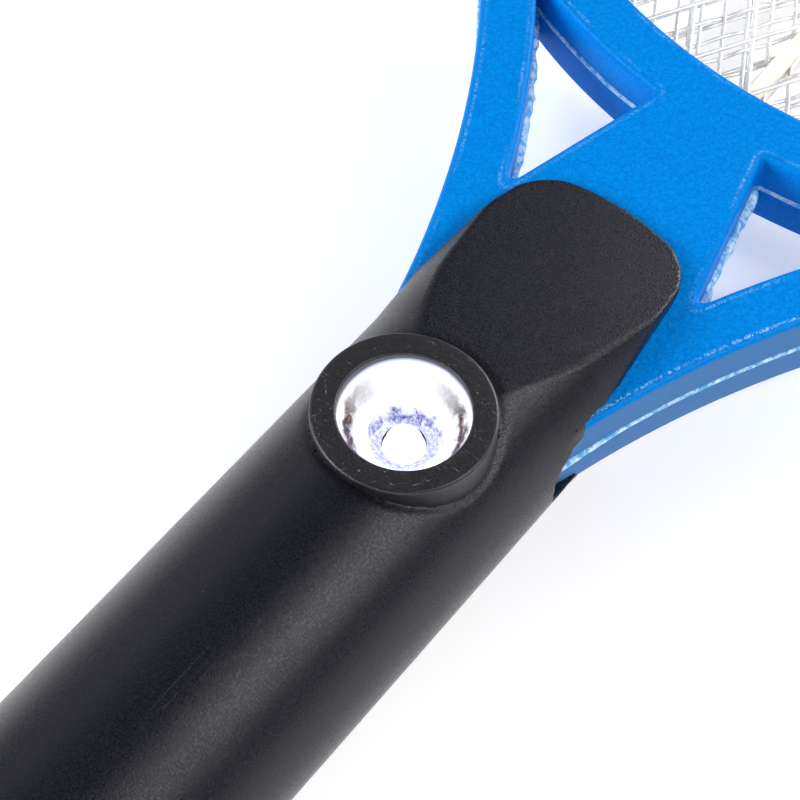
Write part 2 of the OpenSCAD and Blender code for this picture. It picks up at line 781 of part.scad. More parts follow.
front_frame();
rear_frame();
front_grid();
rear_grid();
inner_grid();
front_carrier();
rear_carrier();
hoop_screws();
upper_shell();
lower_shell();
handle_screws();
tail_cap();
torch_bezel();
reflector();
torch_led();
torch_board();
zap_button();
button_spring();
tact_switch();
switch_knob();
switch_lever();
slide_switch();
control_board();
indicator_leds();
main_board();
transformer_core();
transformer_winding();
hv_capacitor();
filter_capacitor();
charge_capacitor();
transistor();
resistors();
diodes();
battery();
battery_tabs();
plug_carriage();
plug_pins();
charge_contacts();
grid_leads();
battery_leads();
torch_leads();
control_leads();
charge_leads();
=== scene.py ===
"""Looks of the electric fly swatter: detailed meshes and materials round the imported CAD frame.

Shapes are worked out in millimetres in the torch's own frame: the torch centre on the handle
axis is (0, 0, 0), +Y runs towards the hoop and +Z out of the torch. place() moves them into
the CAD frame, in metres.
"""

import math

import bpy
import numpy as np
from mathutils import Matrix, Vector
from mathutils.geometry import delaunay_2d_cdt


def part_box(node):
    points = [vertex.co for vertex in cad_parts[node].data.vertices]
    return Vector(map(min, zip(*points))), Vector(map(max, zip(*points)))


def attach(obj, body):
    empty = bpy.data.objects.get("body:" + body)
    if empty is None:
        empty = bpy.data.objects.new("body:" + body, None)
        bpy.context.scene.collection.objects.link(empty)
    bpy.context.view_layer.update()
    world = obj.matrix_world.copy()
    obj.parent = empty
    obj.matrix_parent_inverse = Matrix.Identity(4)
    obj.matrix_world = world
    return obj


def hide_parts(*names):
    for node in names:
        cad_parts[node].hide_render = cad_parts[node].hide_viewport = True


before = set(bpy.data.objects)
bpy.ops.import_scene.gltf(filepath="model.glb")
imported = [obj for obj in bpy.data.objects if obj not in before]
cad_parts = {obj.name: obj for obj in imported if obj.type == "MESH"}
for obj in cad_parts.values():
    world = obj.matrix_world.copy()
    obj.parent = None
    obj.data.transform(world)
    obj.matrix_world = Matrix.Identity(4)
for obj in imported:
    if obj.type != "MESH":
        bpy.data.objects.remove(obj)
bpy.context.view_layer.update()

# ---- sizes, from the frame

MM = 0.001


def span(node, axis):
    """Lowest and highest value of a CAD node along one axis, in metres."""
    low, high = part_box(node)
    return low[axis], high[axis]


AXIS_Z = span("upper_shell", 2)[0]
TORCH_Y = sum(span("torch_board", 1)) / 2
ORIGIN = np.array([0.0, TORCH_Y, AXIS_Z])


def near(node, axis):
    """span() in millimetres in the torch's frame."""
    return [(v - ORIGIN[axis]) / MM for v in span(node, axis)]


def middle_y(node):
    return sum(near(node, 1)) / 2


def place(points):
    """Points of the torch's frame in the CAD frame."""
    return np.asarray(points, float) * MM + ORIGIN


HANDLE_R = near("lower_shell", 0)[1]
WALL = 2.0
SLOT_Y = 10.4                     # where the handle's side walls stop
SHELL_END, TONGUE_Y = near("upper_shell", 1)
TAIL_FACE = near("tail_cap", 1)[0]
FACET_Z = 17.78                   # height of the sloping facet above the torch's centre
FACET_SLOPE = math.tan(math.radians(11.8))

FACE_Z = near("front_frame", 2)[1]
HOOP_A = near("front_frame", 0)[1]
STUB_Y, HOOP_END = near("front_frame", 1)
HOOP_B = 111.0
HOOP_CY = HOOP_END - HOOP_B
RIM_W = 9.0
ARM_W = 8.3
FLARE_T = math.radians(-51.4)     # where on the hoop's ellipse the neck's flare starts
FLARE_R = 155.7
STUB_W = near("main_board", 0)[1] + 3.8
STEP_Y = SLOT_Y + 0.3
CARRIER_W = 3.6
LIP_Z = near("front_grid", 2)[1] + 0.05

BEZEL_R = near("torch_bezel", 0)[1]
BEZEL_FOOT_Z = 7.2
BEZEL_OPEN_R = 8.5
BEZEL_FACE_Z = 17.4
BEZEL_SLOPE = math.tan(math.radians(3.9))

BUTTON_Y = middle_y("zap_button")
BUTTON_R = 6.5
SWITCH_Y = middle_y("switch_knob")
SWITCH_TRAVEL = 6.0
PLUG_Y = middle_y("plug_carriage")
PLUG_TRAVEL = 20.0
PIN_X = 9.5
PIN_R = 2.0
STEM_W = 1.6
LED_X = 4.0
LED_Y = middle_y("indicator_leds")
LANYARD = (-188.0, -12.5, 1.6)    # y, z and radius of the cross hole
BODY_SCREWS = [(11.8, -142.0), (-11.8, -142.0), (11.8, -66.0), (-11.8, -66.0)]
BODY_DEPTH = 7.0                  # the screws' heads sit this far below the handle's axis
NECK_SCREWS = [(8.0, 28.0), (-8.0, 28.0)]
NECK_DEPTH = 9.4
HOOP_SCREW_T = [math.radians(-50 + 40 * k) for k in range(8)]

# ---- camera, light and floor


def link(name, data):
    """A new object in the scene that shows a camera, a light or a mesh."""
    made = bpy.data.objects.new(name, data)
    bpy.context.scene.collection.objects.link(made)
    return made


def camera():
    """Looks down on the neck from behind and to the right, close to it."""
    focal_px, image_px, distance = 1926.0, 800, 258.984 * MM
    azimuth, elevation, roll = (math.radians(v) for v in (39.127, 60.338, 0.387))
    data = bpy.data.cameras.new("camera")
    data.sensor_width = 36.0
    data.lens = focal_px / image_px * data.sensor_width
    data.clip_start = 0.01
    made = link("camera", data)
    made.matrix_world = (Matrix.Translation(place([-7.631, 8.501, 0.0]))
                         @ Matrix.Rotation(azimuth, 4, "Z")
                         @ Matrix.Rotation(math.pi / 2 - elevation, 4, "X")
                         @ Matrix.Rotation(roll, 4, "Z")
                         @ Matrix.Translation((0, 0, distance)))
    bpy.context.scene.camera = made


def softbox(name, at, size, power, colour):
    """A square light at a place given in the torch's frame, aimed at the torch."""
    data = bpy.data.lights.new(name, "AREA")
    data.shape = "SQUARE"
    data.size = size * MM
    data.energy = power
    data.color = colour
    made = link(name, data)
    made.location = place(at)
    aim = Vector(ORIGIN) - made.location
    made.rotation_euler = aim.to_track_quat("-Z", "Y").to_euler()


def studio():
    """Dim even daylight, a key light from the front right and four softboxes low around."""
    world = bpy.data.worlds.new("studio")
    bpy.context.scene.world = world
    world.use_nodes = True
    background = world.node_tree.nodes["Background"].inputs
    background["Color"].default_value = (0.96, 0.96, 1.0, 1)
    background["Strength"].default_value = 0.1
    softbox("key", (488, 203, 533), 230, 3.5, (1.0, 0.97, 0.97))
    for name, at, size, power in (("back_left", (-480, -560, 360), 450, 8.0),
                                  ("left", (-660, 230, 460), 600, 1.2),
                                  ("front", (110, 745, 215), 450, 6.0),
                                  ("back_right", (360, -680, 360), 450, 2.2)):
        softbox(name, at, size, power, (0.97, 0.98, 1.0))
    bpy.context.scene.view_settings.view_transform = "Standard"


# ---- mesh helpers


def new_mesh(name, points, faces, normals=None, sharp=None):
    """A smooth shaded object from points in the torch's frame."""
    data = bpy.data.meshes.new(name)
    data.from_pydata(place(points).tolist(), [], faces)
    data.validate()
    data.polygons.foreach_set("use_smooth", [True] * len(data.polygons))
    if sharp is not None:
        data.set_sharp_from_angle(angle=math.radians(sharp))
    if normals is not None:
        data.normals_split_custom_set_from_vertices(np.asarray(normals).tolist())
    data.update()
    return link(name, data)


def mark(obj, name, values):
    """Stores one number per vertex for a material to read."""
    layer = obj.data.attributes.new(name, "FLOAT", "POINT")
    layer.data.foreach_set("value", np.asarray(values, np.float32))


def piece(name, node, slot, material, points, faces, normals=None, sharp=None, body="handle"):
    """A mesh that rides on its body in place of a CAD node, with its finish."""
    made = new_mesh(name, points, faces, normals, sharp)
    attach(made, body)
    if node:
        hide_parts(node)
    made.data.materials.append(material)
    return made


def both_sides(name, node, slot, material, points, faces, sharp):
    """A piece in front of the seam and its mirror image behind it."""
    for side, sign in (("front", 1), ("rear", -1)):
        turned = faces if sign > 0 else flipped(faces)
        piece(f"{name}_{side}", f"{side}_{node}", slot, material, points * [1, 1, sign], turned,
              sharp=sharp)


def bridge(rows, width, closed=True, looped=False):
    """Quads between rows of points, each row closed on itself, perhaps from last to first too."""
    faces = []
    for row in range(rows if looped else rows - 1):
        a, b = row * width, (row + 1) % rows * width
        for k in range(width if closed else width - 1):
            after = (k + 1) % width
            faces.append((a + k, a + after, b + after, b + k))
    return faces


def end_caps(rows, width):
    """The two faces that close the ends of bridged rows."""
    return [tuple(range(width - 1, -1, -1)), tuple(range((rows - 1) * width, rows * width))]


def full_turn(count):
    return np.linspace(0, 2 * math.pi, count, endpoint=False)


def lathe(profile, segments):
    """Turns a profile of (radius, z) points about Z."""
    angles = full_turn(segments)
    rows = [np.c_[r * np.cos(angles), r * np.sin(angles), np.full(segments, z)] for r, z in profile]
    return np.concatenate(rows), bridge(len(profile), segments)


def arc(centre, radius, start, stop, count):
    """Profile points on an arc, with angles in degrees from the radius direction."""
    angles = np.radians(np.linspace(start, stop, count))
    return [(centre[0] + radius * math.cos(a), centre[1] + radius * math.sin(a)) for a in angles]


def tube(path, radii, sides):
    """A closed tube along a path of points, with one radius or a radius at each."""
    path = np.asarray(path, float)
    along = np.gradient(path, axis=0)
    along /= np.linalg.norm(along, axis=1)[:, None]
    side = np.cross(along, [0.0, 0.0, 1.0])
    side /= np.linalg.norm(side, axis=1)[:, None]
    up = np.cross(side, along)
    angles = full_turn(sides)
    radii = np.broadcast_to(radii, len(path))
    rings = path[:, None] + radii[:, None, None] * (
        np.cos(angles)[:, None] * side[:, None] + np.sin(angles)[:, None] * up[:, None])
    return rings.reshape(-1, 3), bridge(len(path), sides) + end_caps(len(path), sides)


def flipped(faces):
    return [f[::-1] for f in faces]


def gather(parts):
    """Joins (points, faces) pairs into one."""
    points, faces, shift = [], [], 0
    for some, theirs in parts:
        points.append(np.asarray(some))
        faces += [tuple(k + shift for k in f) for f in theirs]
        shift += len(some)
    return np.concatenate(points), faces


# ---- smooth solids from distances


def round_max(a, b, r):
    """Intersection of two distances with its edge rounded to radius r."""
    return np.minimum(-r, np.maximum(a, b)) + np.hypot(np.maximum(a + r, 0), np.maximum(b + r, 0))


def box_distance(p, low, high, r=0.0):
    """Distance to a box with edges rounded to radius r."""
    low, high = np.array(low, float), np.array(high, float)
    centre, half = (low + high) / 2, (high - low) / 2 - r
    q = [np.abs(p[i] - centre[i]) - half[i] for i in range(len(low))]
    outside = np.sqrt(sum(np.maximum(v, 0) ** 2 for v in q))
    inside = np.minimum(np.maximum.reduce(q), 0)
    return outside + inside - r


def slope(distance, p):
    """How a distance grows at points, as vectors and their lengths."""
    step = 0.02
    parts = []
    for axis in range(3):
        ahead, behind = [v.copy() for v in p], [v.copy() for v in p]
        ahead[axis] += step
        behind[axis] -= step
        parts.append(distance(ahead) - distance(behind))
    grown = np.stack(parts, axis=1) / (2 * step)
    return grown, np.maximum(np.linalg.norm(grown, axis=1), 1e-6)


def skin(distance, xs, ys, zs, shade=None):
    """The surface where a distance is zero, as points, quads and exact normals.

    One vertex in each grid cell that the surface crosses, joined across the crossed edges.
    """
    axes = [np.asarray(v, float) for v in (xs, ys, zs)]
    value = distance(list(np.meshgrid(*axes, indexing="ij")))
    shape = tuple(n - 1 for n in value.shape)
    total, weight = np.zeros(shape + (3,)), np.zeros(shape)
    crossings = []
    for axis in range(3):
        before = tuple(slice(0, -1) if k == axis else slice(None) for k in range(3))
        after = tuple(slice(1, None) if k == axis else slice(None) for k in range(3))
        v0, v1 = value[before], value[after]
        at = np.argwhere((v0 < 0) != (v1 < 0))
        a, b = v0[tuple(at.T)], v1[tuple(at.T)]
        share = a / (a - b)
        point = np.stack([axes[k][at[:, k]] for k in range(3)], axis=1)
        point[:, axis] += share * (axes[axis][at[:, axis] + 1] - axes[axis][at[:, axis]])
        others = [k for k in range(3) if k != axis]
        for shift in ((0, 0), (0, -1), (-1, 0), (-1, -1)):
            cell = at.copy()
            cell[:, others] += shift
            ok = np.all((cell >= 0) & (cell < shape), axis=1)
            np.add.at(total, tuple(cell[ok].T), point[ok])
            np.add.at(weight, tuple(cell[ok].T), 1)
        crossings.append((axis, others, at, a < 0))
    used = weight > 0
    number = np.full(shape, -1)
    number[used] = np.arange(used.sum())
    points = total[used] / weight[used][:, None]
    faces = []
    for axis, others, at, inward in crossings:
        ok = np.ones(len(at), bool)
        for k in others:
            ok &= (at[:, k] > 0) & (at[:, k] < shape[k])
        at, inward = at[ok], inward[ok]
        corners = []
        for shift in ((-1, -1), (0, -1), (0, 0), (-1, 0)):
            cell = at.copy()
            cell[:, others] += shift
            corners.append(number[tuple(cell.T)])
        quad = np.stack(corners, axis=1)
        turn = inward if axis != 1 else ~inward
        quad[~turn] = quad[~turn][:, ::-1]
        faces += [tuple(q) for q in quad.tolist()]
    reach = 0.5 * min(float(np.min(np.diff(v))) for v in axes)
    for _ in range(4):
        p = list(points.T)
        grown, size = slope(distance, p)
        off = np.clip(distance(p) / size, -reach, reach)
        points = points - grown / size[:, None] * off[:, None]
    grown, size = slope(shade or distance, list(points.T))
    return points, faces, grown / size[:, None]


def steps(*stretches):
    """Grid lines from (start, stop, spacing) stretches that follow each other."""
    lines = []
    for start, stop, spacing in stretches:
        count = max(1, round((stop - start) / spacing))
        lines += list(np.linspace(start, stop, count, endpoint=False))
    return lines + [stretches[-1][1]]


# ---- material helpers


class Nodes:
    """Short calls for building a node material that reads object coordinates in millimetres."""

    def __init__(self, name):
        self.material = bpy.data.materials.new(name)
        self.material.use_nodes = True
        self.tree = self.material.node_tree
        self.shader = self.tree.nodes["Principled BSDF"]
        self.at = self.add("TexCoord").outputs["Object"]

    def add(self, kind, inputs=None, **settings):
        made = self.tree.nodes.new("ShaderNode" + kind)
        for key, value in settings.items():
            setattr(made, key, value)
        for key, value in (inputs or {}).items():
            self.feed(made.inputs[key], value)
        return made

    def feed(self, socket, value):
        if isinstance(value, bpy.types.NodeSocket):
            self.tree.links.new(value, socket)
        else:
            socket.default_value = value

    def scaled(self, x, y=None, z=None, turn=0.0):
        """Object coordinates times a scale per millimetre, perhaps turned about Z first."""
        scale = (x / MM, (y or x) / MM, (z or x) / MM)
        turned = self.add("Mapping", {"Vector": self.at, "Rotation": (0, 0, turn)})
        return self.add("Mapping", {"Vector": turned.outputs[0], "Scale": scale}).outputs[0]

    def noise(self, vector, detail=3.0, roughness=0.55):
        made = self.add("TexNoise", {"Vector": vector, "Scale": 1.0, "Detail": detail,
                                     "Roughness": roughness})
        return made.outputs["Fac"]

    def cells(self, vector, feature="DISTANCE_TO_EDGE"):
        made = self.add("TexVoronoi", {"Vector": vector, "Scale": 1.0}, feature=feature)
        return made.outputs["Distance"]

    def ramp(self, value, low, high, out_low=0.0, out_high=1.0):
        made = self.add("MapRange", {"Value": value, "From Min": low, "From Max": high,
                                     "To Min": out_low, "To Max": out_high})
        return made.outputs[0]

    def spread(self, noise, low, high):
        """A noise's usual range spread over another range."""
        return self.ramp(noise, 0.3, 0.7, low, high)

    def math(self, operation, a, b=0.0):
        made = self.add("Math", operation=operation)
        self.feed(made.inputs[0], a)
        self.feed(made.inputs[1], b)
        return made.outputs[0]

    def times(self, a, b):
        return self.math("MULTIPLY", a, b)

    def plus(self, a, b):
        return self.math("ADD", a, b)

    def vector_math(self, operation, a, b):
        made = self.add("VectorMath", operation=operation)
        self.feed(made.inputs[0], a)
        self.feed(made.inputs[1], b)
        return made.outputs[0]

    def axis(self, vector, name):
        return self.add("SeparateXYZ", {"Vector": vector}).outputs[name]

    def mix(self, share, a, b):
        made = self.add("Mix", data_type="RGBA")
        self.feed(made.inputs[0], share)
        self.feed(made.inputs[6], a)
        self.feed(made.inputs[7], b)
        return made.outputs[2]

    def patches(self, scale, low, high):
        """Large soft patches from 0 to 1 that limit where a mark shows."""
        return self.ramp(self.noise(self.scaled(scale), 1.0), low, high)

    def two_tone(self, noise, tone_a, tone_b, low=0.35, high=0.65):
        return self.mix(self.ramp(noise, low, high), rgb(*tone_a), rgb(*tone_b))

    def attribute(self, name):
        return self.add("Attribute", attribute_name=name).outputs["Fac"]

    def facing_up(self):
        """1 on faces along Z either way, 0 on side walls."""
        geometry = self.add("NewGeometry")
        return self.ramp(self.math("ABSOLUTE", self.axis(geometry.outputs["Normal"], "Z")), 0.75, 0.97)

    def bump(self, height, strength, distance_mm, after=None):
        made = self.add("Bump", {"Height": height, "Strength": strength,
                                 "Distance": distance_mm * MM})
        if after is not None:
            self.feed(made.inputs["Normal"], after)
        return made.outputs[0]

    def finish(self, colour=None, roughness=None, normal=None, **constants):
        if colour is not None:
            self.feed(self.shader.inputs["Base Color"], colour)
        if roughness is not None:
            self.feed(self.shader.inputs["Roughness"], roughness)
        if normal is not None:
            self.feed(self.shader.inputs["Normal"], normal)
        for key, value in constants.items():
            self.shader.inputs[key.replace("_", " ")].default_value = value
        return self.material


def rgb(r, g, b):
    """Linear colour from sRGB values of 0 to 255."""
    line = [v / 255 for v in (r, g, b)]
    return [v / 12.92 if v <= 0.04045 else ((v + 0.055) / 1.055) ** 2.4 for v in line] + [1.0]


# ---- materials


def blue_abs():
    """Bright blue ABS: leather grain with painted shade in its creases on the faces, smoother walls
    with a painted grey sheen outside, pale wear and a painted highlight along the edges.
    """
    n = Nodes("blue_abs")
    wobble = n.noise(n.scaled(0.9), 2.0)
    push = n.add("CombineXYZ", {"X": wobble, "Y": wobble}).outputs[0]
    bent = n.vector_math("ADD", n.scaled(0.95, 0.6, 1.0, 0.35), push)
    creases = n.ramp(n.cells(bent), 0.0, 0.2)
    pores = n.noise(n.scaled(2.4), 3.0)
    face = n.facing_up()
    normal = n.bump(n.times(n.plus(creases, pores), face), 0.4, 0.09)
    normal = n.bump(n.noise(n.scaled(0.5), 2.0), 0.2, 0.15, normal)
    tone = n.two_tone(pores, (0, 112, 190), (0, 127, 212))
    # painted shade: the grain's creases on the faces are darkened
    crease_painted_shade = n.times(n.ramp(creases, 0.0, 0.7, 0.22, 0.0), face)
    tone = n.mix(crease_painted_shade, tone, rgb(0, 74, 160))
    # the pale line along the face's edges is partly wear and partly a painted highlight
    worn_and_highlit_edge = n.ramp(n.noise(n.scaled(3.0), 5.0, 0.75), 0.5, 0.56)
    worn_and_highlit_edge = n.times(n.times(worn_and_highlit_edge, n.attribute("edge_wear_and_highlight")), n.patches(0.12, 0.38, 0.55))
    scuffs = n.ramp(n.noise(n.scaled(0.75, 1.1, 1.0, 0.6), 8.0, 0.72), 0.69, 0.73)
    scuffs = n.times(scuffs, n.patches(0.08, 0.5, 0.62))
    pale = n.math("MAXIMUM", n.times(worn_and_highlit_edge, 0.9), n.times(scuffs, 0.5))
    # painted sheen: a greyish blue on the outer walls stands in for the pale floor's reflection there
    painted_wall_sheen = n.times(n.attribute("painted_wall_sheen"), n.spread(pores, 0.5, 0.75))
    tone = n.mix(painted_wall_sheen, tone, rgb(80, 108, 140))
    # pale tone for the scuffs, which are wear, and for the edge line, which is partly wear and partly
    # a painted highlight
    tone = n.mix(pale, tone, rgb(176, 214, 240))
    rough = n.spread(n.noise(n.scaled(1.4), 4.0), 0.3, 0.42)
    rough = n.plus(rough, n.times(pale, 0.25))
    return n.finish(tone, rough, normal, IOR=1.5, Specular_IOR_Level=0.035)


def black_abs(name="black_abs", tone_a=(12, 13, 21), tone_b=(21, 22, 32)):
    """Matte black ABS: fine spark texture, faint lengthwise scratches and dust."""
    n = Nodes(name)
    spark = n.noise(n.scaled(3.6), 3.0, 0.75)
    soft = n.noise(n.scaled(0.12), 2.0)
    grain = n.noise(n.scaled(5.0, 0.25, 5.0), 3.0, 0.6)
    hair = n.ramp(n.noise(n.scaled(4.5, 0.05, 4.5), 4.0, 0.6), 0.66, 0.71)
    hair = n.times(hair, n.ramp(n.noise(n.scaled(0.2, 0.02, 0.2), 1.0), 0.45, 0.65))
    dust = n.ramp(n.cells(n.scaled(0.55), "F1"), 0.045, 0.02)
    dust = n.times(dust, n.patches(0.3, 0.5, 0.6))
    tone = n.two_tone(spark, tone_a, tone_b, 0.3, 0.7)
    tone = n.mix(n.times(hair, 0.3), tone, rgb(84, 84, 88))
    tone = n.mix(n.times(dust, 0.4), tone, rgb(160, 160, 165))
    rough = n.spread(soft, 0.15, 0.19)
    rough = n.plus(rough, n.ramp(spark, 0.42, 0.58, 0.0, 0.2))
    normal = n.bump(spark, 1.0, 0.06)
    normal = n.bump(grain, 0.3, 0.03, normal)
    return n.finish(tone, rough, normal, IOR=1.48, Specular_IOR_Level=0.28)


def bezel_black():
    """Semi-gloss black with many short fine scratches and pale nicks."""
    n = Nodes("bezel_black")
    marks = None
    for turn, length in ((0.5, 0.35), (1.6, 0.25), (2.5, 0.4)):
        line = n.ramp(n.noise(n.scaled(4.0, length, 4.0, turn), 4.0, 0.65), 0.67, 0.71)
        marks = line if marks is None else n.math("MAXIMUM", marks, line)
    nicks = n.ramp(n.noise(n.scaled(2.0), 7.0, 0.78), 0.63, 0.67)
    nicks = n.times(nicks, n.patches(0.25, 0.38, 0.5))
    speck = n.noise(n.scaled(3.0), 4.0, 0.8)
    tone = n.two_tone(speck, (12, 12, 15), (32, 32, 37), 0.35, 0.7)
    tone = n.mix(n.times(marks, 0.35), tone, rgb(150, 148, 146))
    tone = n.mix(n.times(nicks, 0.6), tone, rgb(190, 184, 176))
    rough = n.spread(speck, 0.28, 0.46)
    normal = n.bump(speck, 0.8, 0.06)
    normal = n.bump(marks, 0.5, 0.04, normal)
    return n.finish(tone, rough, normal, IOR=1.5)


def steel(name="net_steel", bright=246):
    """Zinc plated wire: dull bright metal with greenish grey blotches."""
    n = Nodes(name)
    blotch = n.noise(n.scaled(0.8), 4.0)
    grit = n.noise(n.scaled(8.0), 3.0)
    tone = n.two_tone(blotch, (bright, bright, bright - 2), (bright - 26, bright - 24, bright - 26))
    rough = n.spread(grit, 0.26, 0.42)
    return n.finish(tone, rough, n.bump(grit, 0.25, 0.03), Metallic=0.35)


def moulded(name, tone_a, tone_b, low, high, grain=4.0, strength=0.15, **constants):
    """A moulded or coated surface with mottled tone and a fine grain."""
    n = Nodes(name)
    fine = n.noise(n.scaled(grain), 4.0, 0.6)
    tone = n.two_tone(n.noise(n.scaled(0.5), 4.0), tone_a, tone_b)
    return n.finish(tone, n.spread(fine, low, high), n.bump(fine, strength, 0.04), **constants)


def ivory():
    """White nylon that lets a little light in."""
    n = Nodes("ivory")
    tone = n.two_tone(n.noise(n.scaled(0.6), 4.0), (253, 249, 240), (246, 232, 214))
    rough = n.spread(n.noise(n.scaled(3.0), 3.0), 0.35, 0.5)
    normal = n.bump(n.noise(n.scaled(3.5), 3.0), 0.15, 0.05)
    return n.finish(tone, rough, normal, Subsurface_Weight=0.15, Subsurface_Scale=0.002)


def flash_blue():
    """Squeezed-out seam line: stressed plastic, pale cyan to white."""
    n = Nodes("flash_blue")
    patch = n.noise(n.scaled(0.9), 5.0, 0.7)
    tone = n.two_tone(patch, (70, 170, 226), (214, 240, 252), 0.42, 0.6)
    normal = n.bump(n.noise(n.scaled(3.0), 5.0, 0.7), 0.8, 0.2)
    return n.finish(tone, n.spread(patch, 0.35, 0.6), normal)


def lit_lamp():
    """The lamp's clear dome, lit white and dark at its foot."""
    n = Nodes("lit_lamp")
    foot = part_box("torch_led")[0].z
    glow = n.ramp(n.axis(n.at, "Z"), foot + 0.2 * MM, foot + 1.2 * MM)
    tone = n.mix(glow, (0.02, 0.022, 0.03, 1), (0.9, 0.93, 1.0, 1))
    n.feed(n.shader.inputs["Emission Color"], tone)
    rough = n.spread(n.noise(n.scaled(3.0)), 0.05, 0.12)
    return n.finish(rgb(235, 240, 255), rough, None, Emission_Strength=1.8)


def cup_painted_glow():
    """The mirror cup with painted light as its emission: a painted white glow, violet at the foot, a
    painted dark arc on each side.

    Heights run from 0 at the cup's foot to 1 at its mouth. Turns are measured either way from
    the side of the cup that stays painted white.
    """
    n = Nodes("cup_painted_glow")
    painted_white_side = math.radians(51)
    arc_height = 0.66
    low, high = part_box("reflector")
    spot = n.vector_math("SUBTRACT", n.at, (0.0, TORCH_Y, low.z))
    turned = n.add("VectorRotate", {"Vector": spot, "Angle": painted_white_side}, rotation_type="Z_AXIS")
    x, y, z = (n.axis(turned.outputs[0], name) for name in "XYZ")
    rise = n.ramp(z, 0.0, high.z - low.z)
    turn = n.math("ABSOLUTE", n.math("ARCTAN2", y, x))
    speckle = n.noise(n.scaled(2.2), 4.0, 0.7)
    uneven_rise = n.plus(rise, n.spread(n.noise(n.scaled(0.6), 3.0), -0.09, 0.09))
    # painted glow: the emission colour stands in for the lamp's light in the cup, violet speckles low
    # down and white above
    glow = n.mix(n.ramp(speckle, 0.4, 0.62), (0.1, 0.1, 0.42, 1), (0.7, 0.72, 0.95, 1))
    glow = n.mix(n.ramp(uneven_rise, 0.15, 0.24), glow, (0.95, 0.96, 1.0, 1))
    # painted reflection: a dark arc on each side, clear of the painted white side
    off = n.math("ABSOLUTE", n.math("SUBTRACT", uneven_rise, arc_height))
    painted_dark_arc = n.ramp(off, 0.05, 0.16, 1.0, 0.0)
    for clear, full in ((18, 36), (150, 100)):
        painted_dark_arc = n.times(painted_dark_arc, n.ramp(turn, math.radians(clear), math.radians(full)))
    painted_streak = n.mix(n.ramp(speckle, 0.52, 0.6), (0.025, 0.026, 0.04, 1), (0.4, 0.16, 0.08, 1))
    glow = n.mix(painted_dark_arc, glow, painted_streak)
    # painted bluish shade just under the mouth
    glow = n.mix(n.ramp(rise, 0.93, 0.985), glow, (0.22, 0.25, 0.42, 1))
    n.feed(n.shader.inputs["Emission Color"], glow)
    rough = n.ramp(speckle, 0.35, 0.7, 0.13, 0.22)
    normal = n.bump(n.noise(n.scaled(1.2), 2.0), 0.35, 0.05)
    # the base colour is darker under the painted dark arcs
    tone = n.mix(painted_dark_arc, rgb(120, 122, 134), rgb(60, 60, 66))
    return n.finish(tone, rough, normal, Metallic=1.0, Emission_Strength=1.0)


def lens(name, tone):
    """Tinted clear plastic over a lamp that glows faintly."""
    n = Nodes(name)
    cloud = n.noise(n.scaled(1.5), 3.0)
    colour = n.two_tone(cloud, tone, [min(255, v + 30) for v in tone], 0.3, 0.7)
    rough = n.spread(n.noise(n.scaled(6.0)), 0.08, 0.2)
    return n.finish(colour, rough, None, Emission_Strength=0.1,
                    Emission_Color=rgb(*tone), Coat_Weight=0.4)


BLUE = blue_abs()
BLACK = black_abs()
STEEL = steel()
SCREW = steel("screw_steel", 205)
RED = moulded("red_abs", (176, 22, 20), (196, 34, 28), 0.25, 0.4, 5.0, 0.12, Coat_Weight=0.2)
IVORY = ivory()
BRASS = moulded("pin_brass", (206, 196, 168), (222, 212, 186), 0.18, 0.34, 6.0, 0.1, Metallic=1.0)

# ---- hoop outlines


def rim_point(t, off):
    """A point of the hoop's outer ellipse at angle t, moved off outwards."""
    nx, ny = np.cos(t) / HOOP_A, np.sin(t) / HOOP_B
    size = np.hypot(nx, ny)
    return np.stack([HOOP_A * np.cos(t) + off * nx / size,
                     HOOP_CY + HOOP_B * np.sin(t) + off * ny / size], axis=-1)


FLARE_C = rim_point(FLARE_T, FLARE_R)


def hoop_outline(inset, flare_steps=40, hoop_steps=110):
    """The hoop and neck from above, anticlockwise from the stub inside the handle."""
    start = math.pi - math.asin((STEP_Y + inset - FLARE_C[1]) / FLARE_R)
    first = rim_point(FLARE_T, 0) - FLARE_C
    stop = math.atan2(first[1], first[0])
    turn = np.linspace(start, stop, flare_steps)
    flare = FLARE_C + (FLARE_R + inset) * np.stack([np.cos(turn), np.sin(turn)], axis=1)
    arch = rim_point(np.linspace(FLARE_T, math.pi / 2, hoop_steps)[1:], -inset)
    stub = [[STUB_W - inset, STUB_Y], [STUB_W - inset, STEP_Y + inset]]
    right = np.concatenate([stub, flare, arch])
    left = right[-2::-1] * [-1, 1]
    return np.concatenate([right, left])


def rim_loop(off, count=260):
    return rim_point(full_turn(count), off)


def neck_hole_distance(x, y):
    """Distance to the triangular hole on the +X side, with its corners rounded."""
    side_x, side_y, side_slope = 15.87, 42.0, 6.87 / 27
    straight = side_x - (y - side_y) * side_slope - x
    straight = straight * math.cos(math.atan(side_slope))
    q = np.hypot(x / HOOP_A, (y - HOOP_CY) / HOOP_B)
    fall = np.hypot(x / HOOP_A ** 2, (y - HOOP_CY) / HOOP_B ** 2) / q
    rim = (1 - q) / fall
    arm = FLARE_R + ARM_W - np.hypot(x - FLARE_C[0], y - FLARE_C[1])
    return round_max(round_max(straight, arm, 2.0), rim, 0.8)


def neck_hole_loop(grow, side, count=420):
    """The triangular hole's edge, found outwards from its middle in every direction."""
    middle = np.array([20.5, 63.0])
    turn = full_turn(count)
    low, high = np.zeros(count), np.full(count, 40.0)
    for _ in range(40):
        reach = (low + high) / 2
        x, y = middle[0] + reach * np.cos(turn), middle[1] + reach * np.sin(turn)
        inside = neck_hole_distance(x, y) < grow
        low, high = np.where(inside, reach, low), np.where(inside, high, reach)
    loop = np.stack([x, y], axis=1)
    return loop if side > 0 else (loop * [-1, 1])[::-1]


